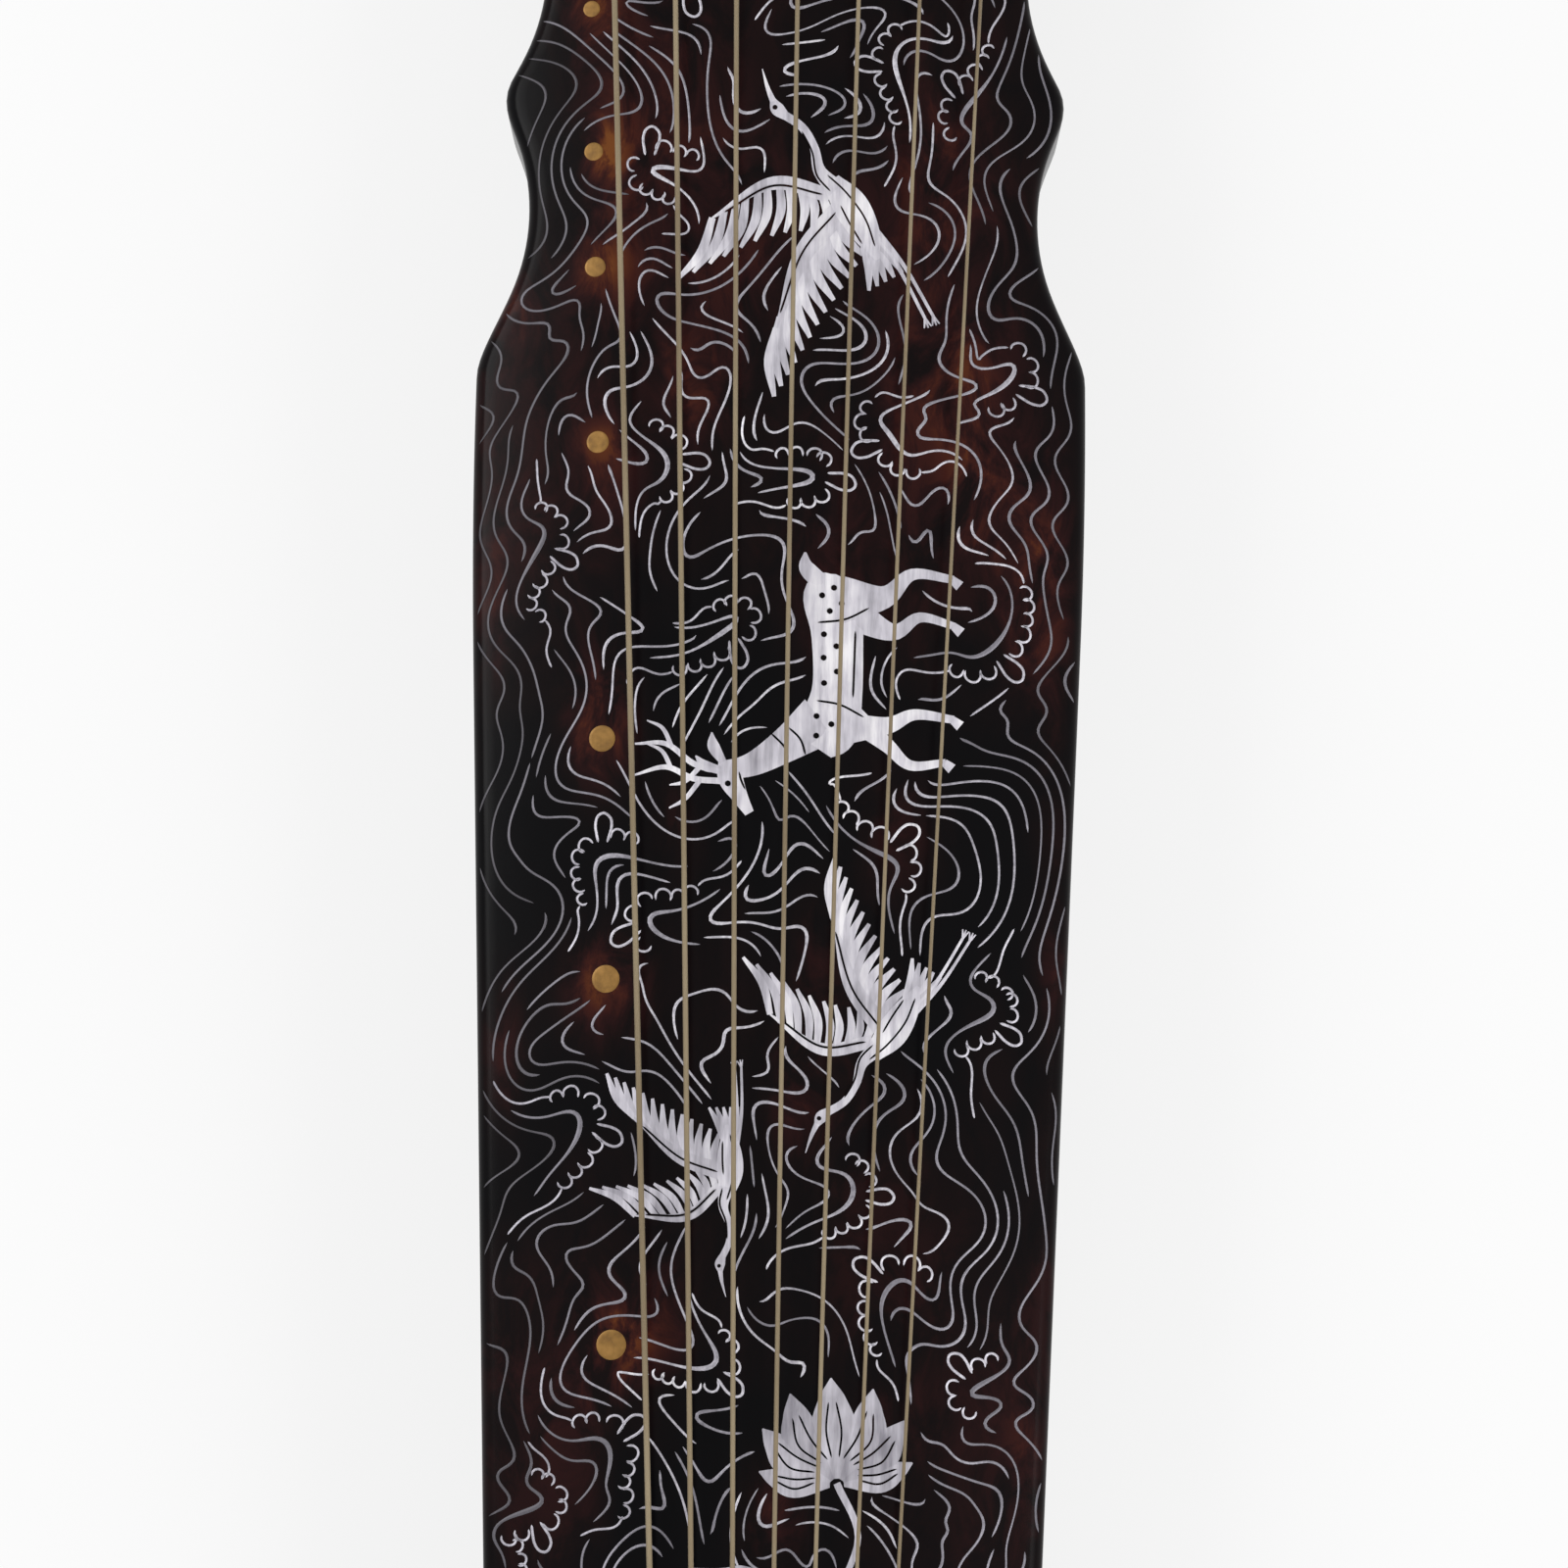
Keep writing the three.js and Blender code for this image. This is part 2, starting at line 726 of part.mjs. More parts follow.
// Least gap between stretches of one cord that lie more than half a turn apart along it
function leastSelfGap(centres, diameter, turnLength) {
  const along = [0];
  for (let i = 1; i < centres.length; i += 1) {
    along.push(along[i - 1] + centres[i].distanceTo(centres[i - 1]));
  }
  let least = Infinity;
  for (let i = 0; i < centres.length; i += 1) {
    for (let j = i + 1; j < centres.length; j += 1) {
      if (along[j] - along[i] > turnLength / 2) {
        least = Math.min(least, centres[i].distanceTo(centres[j]) - diameter);
      }
    }
  }
  return least;
}

// Height of each string where it reaches its foot, one below another from the board down
function windingHeights() {
  let height = { left: standHeight - windingGap, right: standHeight - windingGap };
  return stringDiameters.map((diameter, i) => {
    const side = i < leftFootStringCount ? 'left' : 'right';
    const entry = height[side] - diameter / 2;
    height[side] = entry - windingTurns * (diameter + windingGap) - diameter / 2 - windingGap;
    return entry;
  });
}

const entryHeights = windingHeights();
const bridgeXs = stringXs(bridgeBandShift, bridgeSpacing);
const nutXs = stringXs(nutBandShift, nutSpacing);

function stringCourse(i) {
  const diameter = stringDiameters[i];
  const lift = seatGap + diameter / 2;
  const headX = bridgeXs[i];
  const tailX = nutXs[i];
  const overBridge = bridgeTopAt(headX) + lift;
  const bridgeBack = bridgeY + bridgeTopThickness;
  const knot = new THREE.Vector3(headX, bridgeBack + knotReach, overBridge - knotDiameter / 4);
  const endY = alongY(nutEnd) - lift;
  const under = standHeight - lowerNutProud - lift;
  const side = i < leftFootStringCount ? -1 : 1;
  const windingRadius = footNeckDiameter / 2 + lift;
  const footX = side * footReach;
  const corners = [
    knot,
    new THREE.Vector3(headX, bridgeBack, overBridge),
    new THREE.Vector3(headX, bridgeY, overBridge),
    new THREE.Vector3(tailX, alongY(stringLength), nutTop + lift),
    new THREE.Vector3(tailX, endY, nutTop + lift),
    new THREE.Vector3(tailX, endY, under),
    new THREE.Vector3(tailX, alongY(nutEnd) + lowerNutLength, under),
    new THREE.Vector3(footX - side * windingRadius, footY, entryHeights[i]),
  ];
  const short = bridgeTopThickness / 4;
  const reach = [0, short, short, short, nutCornerRadius, lowerNutCornerRadius, short];
  const route = roundedRoute(corners, reach);
  const turnPitch = diameter + windingGap;
  const winding = [];
  for (let step = 1; step <= windingTurns * windingSteps; step += 1) {
    const turns = step / windingSteps;
    const angle = turns * Math.PI * 2;
    winding.push(new THREE.Vector3(
      footX - side * windingRadius * Math.cos(angle),
      footY + windingRadius * Math.sin(angle),
      entryHeights[i] - turnPitch * turns,
    ));
  }
  const turnLength = Math.PI * 2 * windingRadius;
  const chain = [...route, ...winding];
  const gap = leastSelfGap(chain, diameter, turnLength);
  console.log(`string ${i + 1}: least gap to itself ${gap.toFixed(2)} mm`);
  return chain;
}

// A string starts in a round knot behind the bridge
function stringGeometry(i) {
  const radius = stringDiameters[i] / 2;
  const course = stringCourse(i);
  const knotRadius = knotDiameter / 2;
  const away = new THREE.Vector3().subVectors(course[0], course[1]).normalize();
  const knot = [];
  const knotRadii = [];
  for (const turnShare of knotRingShares) {
    const angle = turnShare * Math.PI;
    knot.push(course[0].clone().addScaledVector(away, knotRadius * Math.cos(angle)));
    knotRadii.push(knotRadius * Math.sin(angle));
  }
  const rest = course.slice(1);
  return cordTube([...knot, ...rest], [...knotRadii, ...rest.map(() => radius)], cordSides);
}

// A silk loop runs from under a string's knot through the plate and the head into the peg's bore
function loopGeometry(i) {
  const x = bridgeXs[i];
  const overBridge = bridgeTopAt(x) + seatGap + stringDiameters[i] / 2;
  const knotY = bridgeY + bridgeTopThickness + knotReach;
  const knotLow = overBridge - knotDiameter / 4 - knotDiameter / 2;
  const mouth = archHeight(x, 0) + plateProud + loopDiameter;
  const corners = [
    new THREE.Vector3(x, knotY + loopDiameter / 2, knotLow - seatGap - loopDiameter / 2),
    new THREE.Vector3(x, holeY, mouth),
    new THREE.Vector3(x, holeY, pegTop - pegBoreDepth + 2 * seatGap),
  ];
  const route = roundedRoute(corners, [0, loopDiameter]);
  return cordTube(route, route.map(() => loopDiameter / 2), loopSides);
}

// Materials
const lacquer = { color: 0x141112, roughness: 0.25, metalness: 0 };
const rosewood = { color: 0x3a1c14, roughness: 0.4, metalness: 0 };
const rawWood = { color: 0xb08a5a, roughness: 0.8, metalness: 0 };
const brass = { color: 0xaa9164, roughness: 0.35, metalness: 0.9 };
const stringSilk = { color: 0xcdbd96, roughness: 0.5, metalness: 0 };
const loopSilk = { color: 0x7d2a22, roughness: 0.7, metalness: 0 };

const guqin = new THREE.Group();

function addPiece(name, geometry, finish) {
  geometry.computeVertexNormals();
  const mesh = new THREE.Mesh(geometry, new THREE.MeshStandardMaterial(finish));
  mesh.name = name;
  guqin.add(mesh);
}

// Soundboard, hollowed and slotted for what it carries
const studIndices = studDiameters.map((_, i) => i);
const footXs = [-footReach, footReach];
const tailRecessLow = nutTop - nutDepth - seatGap;
addPiece('soundboard', cut(topBoardBlank(), [
  chamberCutter(),
  stripSlot(bridgeWidth, bridgeY, bridgeY + bridgeThickness, bridgeSlotDepth),
  stripSlot(bridgeWidth, plateFront, plateBack, plateSlotDepth),
  blockAt(0, holeY, pegPoolWidth, pegPoolLength, seamHeight - overrun, poolCeiling + seatGap),
  ...bridgeXs.map((x) => rodAt(x, holeY, loopHoleDiameter, seamHeight, crestHeight)),
  blockAt(
    0,
    (alongY(stringLength) + alongY(boardEnd) - overrun) / 2,
    nutWidth + 2 * seatGap,
    tailLength + overrun + 2 * seatGap,
    tailRecessLow,
    crestHeight,
  ),
  ...[-1, 1].map((side) => crownGeometry(side, seatGap, crownSlotDepth + seatGap, overrun)),
  ...studIndices.map((i) => studGeometry(i, seatGap, overrun)),
]), lacquer);

// Bottom board with its pools and mortises
const boardLow = standHeight - overrun;
const boardHigh = seamHeight + overrun;
const lowerNutMiddle = alongY(nutEnd) + lowerNutLength / 2;
addPiece('bottom_board', cut(bottomBoardBlank(), [
  ...[dragonPool, phoenixPond].map((hole) => (
    roundedSlot(0, alongY(placeOf(hole)), hole.width, hole.length, hole.corner, boardLow, boardHigh)
  )),
  blockAt(0, holeY, pegPoolWidth, pegPoolLength, boardLow, boardHigh),
  ...footXs.map((x) => blockAt(
    x,
    footY,
    footTenonSide + 2 * seatGap,
    footTenonSide + 2 * seatGap,
    boardLow,
    boardHigh,
  )),
  ...[-1, 1].map((side) => blockAt(
    side * (pegPoolWidth / 2 + seatGap + protectorWidth / 2),
    holeY,
    protectorTenon.width + 2 * seatGap,
    protectorTenon.length + 2 * seatGap,
    boardLow,
    standHeight + protectorTenon.height + seatGap,
  )),
  blockAt(
    0,
    lowerNutMiddle - overrun / 2,
    nutWidth + 2 * seatGap,
    lowerNutLength + overrun + 2 * seatGap,
    boardLow,
    standHeight + lowerNutTenon + seatGap,
  ),
]), lacquer);

for (const [name, hole] of [['dragon_pool_liner', dragonPool], ['phoenix_pond_liner', phoenixPond]]) {
  const y = alongY(placeOf(hole));
  const width = hole.width - 2 * seatGap;
  const length = hole.length - 2 * seatGap;
  const outer = roundedSlot(0, y, width, length, hole.corner, standHeight, seamHeight);
  const inner = roundedSlot(
    0, y, width - 2 * linerWall, length - 2 * linerWall, hole.corner - linerWall, boardLow, boardHigh,
  );
  addPiece(name, cut(outer, [inner]), rosewood);
}

addPiece('bridge', bridgeGeometry(), rosewood);
addPiece('string_hole_plate', plateGeometry(), rosewood);
addPiece('nut', nutGeometry(), rosewood);
addPiece('lower_nut', lowerNutGeometry(), rosewood);
for (const [name, side] of [['tail_crown_left', -1], ['tail_crown_right', 1]]) {
  addPiece(name, crownGeometry(side, 0, crownSlotDepth, crownProud), rosewood);
}

// Peg pool plate, glued under the head, with a hole above each peg
addPiece('peg_pool_plate', cut(
  blockAt(
    0,
    holeY,
    pegPoolWidth - 2 * seatGap,
    pegPoolLength - 2 * seatGap,
    poolCeiling - poolPlateThickness,
    poolCeiling,
  ),
  bridgeXs.map((x) => rodAt(x, holeY, plateHoleDiameter, boardLow, crestHeight)),
), rosewood);

for (let i = 0; i < stringCount; i += 1) {
  addPiece(`peg_${i + 1}`, turnedAt(pegProfile(), bridgeXs[i], holeY), rosewood);
  addPiece(`tuning_loop_${i + 1}`, loopGeometry(i), loopSilk);
  addPiece(`string_${i + 1}`, stringGeometry(i), stringSilk);
}

for (const i of studIndices) {
  addPiece(`hui_${i + 1}`, studGeometry(i, 0, 0), brass);
}

for (const [name, side] of [['left', -1], ['right', 1]]) {
  const x = side * footReach;
  addPiece(`goose_foot_${name}`, footGeometry(x), rosewood);
  addPiece(`foot_socket_${name}`, cut(
    blockAt(x, footY, socketSide, socketSide, seamHeight, seamHeight + socketHeight),
    [blockAt(
      x, footY, footTenonSide + 2 * seatGap, footTenonSide + 2 * seatGap, boardLow, crestHeight,
    )],
  ), rawWood);
  addPiece(`peg_protector_${name}`, protectorGeometry(side), rosewood);
}

// Soundposts stand between the bottom board and the ceiling
function postTop(post) {
  const headSide = placeOf(post) - post.size / 2;
  return archHeight(post.size / 2, headSide) - soundboardThickness - seatGap;
}
addPiece(
  'heaven_pillar',
  rodAt(0, alongY(placeOf(heavenPillar)), heavenPillar.size, seamHeight, postTop(heavenPillar)),
  rawWood,
);
addPiece(
  'earth_pillar',
  blockAt(
    0,
    alongY(placeOf(earthPillar)),
    earthPillar.size,
    earthPillar.size,
    seamHeight,
    postTop(earthPillar),
  ),
  rawWood,
);

export default guqin;
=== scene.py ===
"""Looks of a guqin, a seven-stringed zither. Lengths are in metres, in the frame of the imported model:
X across the strings with the inlaid studs on the -X side, +Y towards the head, Z up."""

import math

import bmesh
import bpy
import numpy as np
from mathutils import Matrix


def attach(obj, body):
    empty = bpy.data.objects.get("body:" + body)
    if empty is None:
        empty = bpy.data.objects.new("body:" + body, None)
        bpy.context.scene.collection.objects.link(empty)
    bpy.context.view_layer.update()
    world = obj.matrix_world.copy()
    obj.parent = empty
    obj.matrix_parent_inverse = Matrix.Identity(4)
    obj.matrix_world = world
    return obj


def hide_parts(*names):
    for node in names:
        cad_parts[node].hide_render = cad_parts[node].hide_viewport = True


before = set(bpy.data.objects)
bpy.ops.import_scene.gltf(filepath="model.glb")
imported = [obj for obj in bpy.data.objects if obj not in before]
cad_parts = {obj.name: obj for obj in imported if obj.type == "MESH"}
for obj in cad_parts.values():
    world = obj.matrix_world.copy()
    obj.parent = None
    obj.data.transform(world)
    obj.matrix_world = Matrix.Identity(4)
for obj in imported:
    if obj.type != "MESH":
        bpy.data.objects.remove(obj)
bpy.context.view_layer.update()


# Bottom board
# A flat plank under the whole instrument, black lacquered, its lower edge rounded. Two long sound
# holes and the peg pool are cut through it. It is glued to the soundboard along the seam.
string_length = 1.120
head_length = 0.075
board_end = 1.143
bridge_y = 0.53605
shoulder_place, shoulder_width, shoulder_blend = 0.258 * string_length, 0.194, 0.0032
head_width, head_corner = 0.175, 0.014
tail_width, tail_corner = 0.1365, 0.008
underside = 0.035
seam = 0.047
bottom_edge = 0.003
# Each arc's place as a share of the string length, and the half width left there as a share of the
# shoulder's width
arcs = [(0.1118, 0.3943), (0.1831, 0.4144), (0.6607, 0.379), (0.7286, 0.366)]
arc_radius, arc_blend = 0.066, 0.010


def ease(value):
    """3v^2 - 2v^3, with v held between 0 and 1."""
    v = np.clip(value, 0, 1)
    return v * v * (3 - 2 * v)


def soft_min(a, b, blend):
    """The smaller of a and b, less (blend - |a - b|)^2 / (4 blend) where they cross."""
    share = np.maximum(blend - np.abs(a - b), 0) / blend
    return np.minimum(a, b) - share * share * blend / 4


def outline_half(u):
    """Half the width at a place u from the bridge: two straight tapers that meet at the shoulder, less
    four arcs R - sqrt(R^2 - along^2), less the rounded corners r - sqrt(r^2 - inside^2)."""
    to_head = (u + head_length) / (shoulder_place + head_length)
    to_tail = (u - shoulder_place) / (board_end - shoulder_place)
    head = (head_width + (shoulder_width - head_width) * to_head) / 2
    tail = (shoulder_width - (shoulder_width - tail_width) * to_tail) / 2
    half = soft_min(head, tail, shoulder_blend)
    for place, left in arcs:
        along = np.minimum(np.abs(u - place * string_length), arc_radius)
        arc = left * shoulder_width + arc_radius - np.sqrt(arc_radius**2 - along**2)
        half = np.where(along < arc_radius, soft_min(half, arc, arc_blend), half)
    for to_end, radius in ((u + head_length, head_corner), (board_end - u, tail_corner)):
        inside = np.maximum(radius - to_end, 0)
        half = half - radius + np.sqrt(np.maximum(radius**2 - inside**2, 0))
    return half


def skin(rings, ends="closed"):
    """Points and faces of a skin over rings of points: face (i, j) spans points j and j + 1 of rings i
    and i + 1. A flat face closes each end, or the ends are left open, or joined to each other."""
    rings = np.asarray(rings, float)
    count, sides = rings.shape[:2]
    i = np.arange(count if ends == "joined" else count - 1)[:, None]
    j = np.arange(sides)[None]
    after, beside = (i + 1) % count * sides, (j + 1) % sides
    faces = np.stack([i * sides + j, i * sides + beside, after + beside, after + j], -1)
    faces = faces.reshape(-1, 4).tolist()
    if ends == "closed":
        last = (count - 1) * sides
        faces += [list(range(sides))[::-1], list(range(last, last + sides))]
    return rings.reshape(-1, 3), faces


def placed(name, data):
    """A new object of the scene that shows a mesh, a lamp or a camera."""
    made = bpy.data.objects.new(name, data)
    bpy.context.scene.collection.objects.link(made)
    return made


def add_mesh(name, points, faces, sharp=35):
    """A mesh object with doubled points merged and faces turned outwards by the sign of the volume. It
    is smooth except where two faces meet at more than the sharp angle, in degrees."""
    mesh = bpy.data.meshes.new(name)
    mesh.from_pydata(np.asarray(points).tolist(), [], faces)
    shape = bmesh.new()
    shape.from_mesh(mesh)
    bmesh.ops.remove_doubles(shape, verts=shape.verts, dist=1e-6)
    if shape.calc_volume(signed=True) < 0:
        bmesh.ops.reverse_faces(shape, faces=shape.faces)
    shape.to_mesh(mesh)
    shape.free()
    mesh.shade_smooth()
    mesh.set_sharp_from_angle(angle=math.radians(sharp))
    return placed(name, mesh)


def carve(piece, points, faces, sharp=35):
    """Cuts a closed shape out of a piece and keeps the result as the piece's own mesh."""
    cutter = add_mesh("cutter", points, faces)
    cut = piece.modifiers.new("cut", "BOOLEAN")
    cut.operation, cut.object, cut.solver = "DIFFERENCE", cutter, "EXACT"
    whole = piece.data
    piece.data = bpy.data.meshes.new_from_object(piece.evaluated_get(bpy.context.evaluated_depsgraph_get()))
    piece.modifiers.clear()
    piece.data.set_sharp_from_angle(angle=math.radians(sharp))
    bpy.data.meshes.remove(cutter.data)
    bpy.data.meshes.remove(whole)


def rounded_outline(width, length, corner, steps=8):
    """Points round a rectangle with quarter circles at its corners, about the origin."""
    turn = np.linspace(0, np.pi / 2, steps + 1)
    parts = []
    for quarters, (side_x, side_y) in enumerate([(1, 1), (-1, 1), (-1, -1), (1, -1)]):
        angle = turn + quarters * np.pi / 2
        middle = np.array([side_x * (width / 2 - corner), side_y * (length / 2 - corner)])
        parts.append(middle + corner * np.stack([np.cos(angle), np.sin(angle)], 1))
    return np.concatenate(parts)


def prism(outline, middle, low, high):
    """The outline stood up between two heights, about a middle (x, y)."""
    flat = outline + np.array(middle)
    rings = [np.column_stack([flat, np.full(len(flat), z)]) for z in (low, high)]
    return skin(rings)


def new_material(name, **sockets):
    """A node material; each socket of its shader that is named here holds one value all over."""
    made = bpy.data.materials.new(name)
    made.use_nodes = True
    shader = made.node_tree.nodes["Principled BSDF"]
    for key, value in sockets.items():
        shader.inputs[key.replace("_", " ")].default_value = value
    return made, made.node_tree, shader


def node(tree, kind, inputs, **settings):
    """A node of one kind. Each input, by name or place, holds a value or is linked to a socket."""
    made = tree.nodes.new("ShaderNode" + kind)
    for key, value in settings.items():
        setattr(made, key, value)
    for key, value in inputs.items():
        if isinstance(value, bpy.types.NodeSocket):
            tree.links.new(value, made.inputs[key])
        else:
            made.inputs[key].default_value = value
    return made


def object_noise(tree, scale, stretch=(1, 1, 1), detail=4, roughness=0.5, distortion=0.0):
    """Noise over Object coordinates, stretched along an axis by a small share there."""
    place = node(tree, "TexCoord", {}).outputs["Object"]
    spread = node(tree, "Mapping", {"Vector": place, "Scale": stretch}).outputs["Vector"]
    return node(tree, "TexNoise", {
        "Vector": spread, "Scale": scale, "Detail": detail, "Roughness": roughness, "Distortion": distortion,
    }).outputs["Fac"]


def ramp(tree, factor, stops):
    """Colour by factor, through (place, (r, g, b)) stops."""
    made = node(tree, "ValToRGB", {"Fac": factor})
    points = made.color_ramp.elements
    while len(points) < len(stops):
        points.new(0.5)
    for point, (place, colour) in zip(points, stops):
        point.position = place
        point.color = (*colour, 1)
    return made.outputs["Color"]


def math_of(tree, operation, a, b):
    """One sum or product of two numbers or sockets."""
    return node(tree, "Math", {0: a, 1: b}, operation=operation).outputs[0]


def remap(tree, value, start, end):
    """A number moved from one range to another, and held within it."""
    return node(tree, "MapRange", {
        "Value": value, "From Min": start[0], "From Max": start[1], "To Min": end[0], "To Max": end[1],
    }).outputs["Result"]


def bump(tree, shader, height, depth, strength=1.0):
    """Ties a height, as a share of a depth in metres, to the shader's normal."""
    raised = node(tree, "Bump", {"Height": height, "Distance": depth, "Strength": strength})
    tree.links.new(raised.outputs["Normal"], shader.inputs["Normal"])


def lacquer_finish():
    """Polished black lacquer over a red-brown ground. The ground shows as faint broad maroon clouds, and
    where the attribute glow is high as torn patches of red-brown and orange-brown."""
    made, tree, shader = new_material("black_lacquer", Specular_IOR_Level=0.05)
    glow = node(tree, "Attribute", {}, attribute_name="glow").outputs["Fac"]
    cloud = object_noise(tree, 62, stretch=(1, 0.55, 1), detail=6, roughness=0.66, distortion=0.7)
    torn = remap(tree, cloud, (0.36, 0.60), (0.22, 1.18))
    broad = object_noise(tree, 13, stretch=(1, 0.38, 1), detail=3)
    ground = remap(tree, broad, (0.42, 0.66), (0, 0.40))
    patched = math_of(tree, "MULTIPLY", math_of(tree, "MULTIPLY", glow, torn), 0.74)
    clouded = math_of(tree, "MULTIPLY", ground, torn)
    colour = ramp(tree, math_of(tree, "ADD", patched, clouded), [
        (0.0, (0.0020, 0.0018, 0.0023)), (0.16, (0.0058, 0.0028, 0.0030)), (0.38, (0.018, 0.0052, 0.0054)),
        (0.62, (0.045, 0.0110, 0.0080)), (0.84, (0.095, 0.026, 0.0100)), (1.0, (0.16, 0.052, 0.014)),
    ])
    tree.links.new(colour, shader.inputs["Base Color"])
    polish = remap(tree, object_noise(tree, 24, detail=3), (0, 1), (0.17, 0.30))
    tree.links.new(polish, shader.inputs["Roughness"])
    bump(tree, shader, object_noise(tree, 38, detail=2), 0.00025, 0.5)
    return made


def finish_piece(piece, finish, slot, *nodes, body="body"):
    """Gives a piece its material; its slot is not used. It rides on its body and stands for the named nodes.
    """
    piece.data.materials.clear()
    piece.data.materials.append(finish)
    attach(piece, body)
    if nodes:
        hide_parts(*nodes)


lacquer = lacquer_finish()
quarter = np.linspace(0, np.pi / 2, 9)
board_places = np.linspace(-head_length, board_end, 407)
halves = outline_half(board_places)[:, None]
right_x = np.concatenate([halves, halves - bottom_edge * (1 - np.cos(quarter))], 1)
right_z = np.concatenate([[seam], underside + bottom_edge * (1 - np.sin(quarter))])
rings = np.stack(np.broadcast_arrays(
    np.concatenate([right_x, -right_x[:, ::-1]], 1),
    bridge_y - board_places[:, None],
    np.concatenate([right_z, right_z[::-1]]),
), -1)
bottom_board = add_mesh("bottom_board_plank", *skin(rings))
dragon_pool_place, dragon_pool_width, dragon_pool_length = 0.380 * string_length, 0.027, 0.214
phoenix_pond_place, phoenix_pond_width, phoenix_pond_length = 0.832 * string_length, 0.026, 0.108
peg_row_y, peg_pool_width, peg_pool_length = bridge_y + 0.023, 0.150, 0.024
sound_hole_corner, peg_pool_corner = 0.008, 0.0005
cut_low, cut_high = underside - 0.004, seam + 0.004
for width, length, corner, y in [
    (dragon_pool_width, dragon_pool_length, sound_hole_corner, bridge_y - dragon_pool_place),
    (phoenix_pond_width, phoenix_pond_length, sound_hole_corner, bridge_y - phoenix_pond_place),
    (peg_pool_width, peg_pool_length, peg_pool_corner, peg_row_y),
]:
    carve(bottom_board, *prism(rounded_outline(width, length, corner), (0, y), cut_low, cut_high))
finish_piece(bottom_board, lacquer, "lacquer", "bottom_board")


# Liners of the dragon pool and of the phoenix pond
# Thin strips of rosewood glued round the walls of the two sound holes, their edges eased.
def along_grain(grain, share):
    """The stretch of a noise along the grain's axis."""
    return tuple(share if axis == grain else 1.0 for axis in "XYZ")


def times(tree, colour, shade):
    """One colour multiplied by another."""
    mixed = node(tree, "Mix", {0: 1.0, 6: colour, 7: shade}, data_type="RGBA", blend_type="MULTIPLY")
    return mixed.outputs[2]


def rosewood_finish(name, grain):
    """Oiled rosewood: long fine streaks of near-black in red-brown along the grain's axis, with short
    open pores and a low sheen."""
    made, tree, shader = new_material(name, Specular_IOR_Level=0.28)
    streak = object_noise(tree, 190, along_grain(grain, 0.06), detail=6, roughness=0.6, distortion=0.6)
    pore = object_noise(tree, 1500, along_grain(grain, 0.04), detail=2)
    colour = ramp(tree, streak, [
        (0.30, (0.010, 0.0045, 0.004)), (0.46, (0.034, 0.012, 0.008)),
        (0.60, (0.062, 0.022, 0.013)), (0.75, (0.105, 0.040, 0.022)),
    ])
    pored = ramp(tree, pore, [(0.34, (0.35, 0.33, 0.32)), (0.46, (1, 1, 1))])
    tree.links.new(times(tree, colour, pored), shader.inputs["Base Color"])
    tree.links.new(remap(tree, streak, (0, 1), (0.28, 0.5)), shader.inputs["Roughness"])
    bump(tree, shader, pore, 0.00008, 0.6)
    return made


rosewood_along = rosewood_finish("rosewood_along_board", "Y")
liner_thickness, liner_gap = 0.002, 0.0003
liner_section = rounded_outline(liner_thickness, seam - underside, 0.0006, 4)
for node_name, width, length, place in [
    ("dragon_pool_liner", dragon_pool_width, dragon_pool_length, dragon_pool_place),
    ("phoenix_pond_liner", phoenix_pond_width, phoenix_pond_length, phoenix_pond_place),
]:
    inset = 2 * liner_gap + liner_thickness
    path = rounded_outline(width - inset, length - inset, 0.007)
    within = rounded_outline(width - inset - 0.002, length - inset - 0.002, 0.006)
    outward = path - within
    outward /= np.hypot(*outward.T)[:, None]
    flat = path[:, None] + outward[:, None] * liner_section[None, :, :1]
    flat += np.array([0, bridge_y - place])
    rise = np.broadcast_to((seam + underside) / 2 + liner_section[None, :, 1:], (*flat.shape[:2], 1))
    liner = add_mesh(node_name + "_strip", *skin(np.concatenate([flat, rise], -1), "joined"))
    finish_piece(liner, rosewood_along, "hardwood", node_name)


# Soundposts and foot sockets
# Bare fir inside the box: the round heaven pillar, the square earth pillar, and two blocks that take
# the feet's tenons, all glued to the bottom board. Their solids are right, so they only get a finish.
def raw_wood_finish(name, grain):
    """Bare fir: pale straw with soft darker year rings along the grain, dry and fibrous."""
    made, tree, shader = new_material(name, Specular_IOR_Level=0.2, Roughness=0.82)
    ring = object_noise(tree, 120, along_grain(grain, 0.05), detail=3, distortion=0.3)
    fibre = object_noise(tree, 1100, along_grain(grain, 0.05), detail=3)
    colour = ramp(tree, ring, [
        (0.32, (0.30, 0.17, 0.075)), (0.5, (0.46, 0.31, 0.16)), (0.7, (0.58, 0.42, 0.24)),
    ])
    rough = ramp(tree, fibre, [(0.3, (0.72, 0.70, 0.66)), (0.6, (1, 1, 1))])
    tree.links.new(times(tree, colour, rough), shader.inputs["Base Color"])
    bump(tree, shader, fibre, 0.0002, 0.7)
    return made


fir_upright = raw_wood_finish("fir_upright", "Z")
fir_along = raw_wood_finish("fir_along_board", "Y")
for node_name in ("heaven_pillar", "earth_pillar", "foot_socket_left", "foot_socket_right"):
    for material_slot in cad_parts[node_name].material_slots:
        material_slot.material = fir_upright


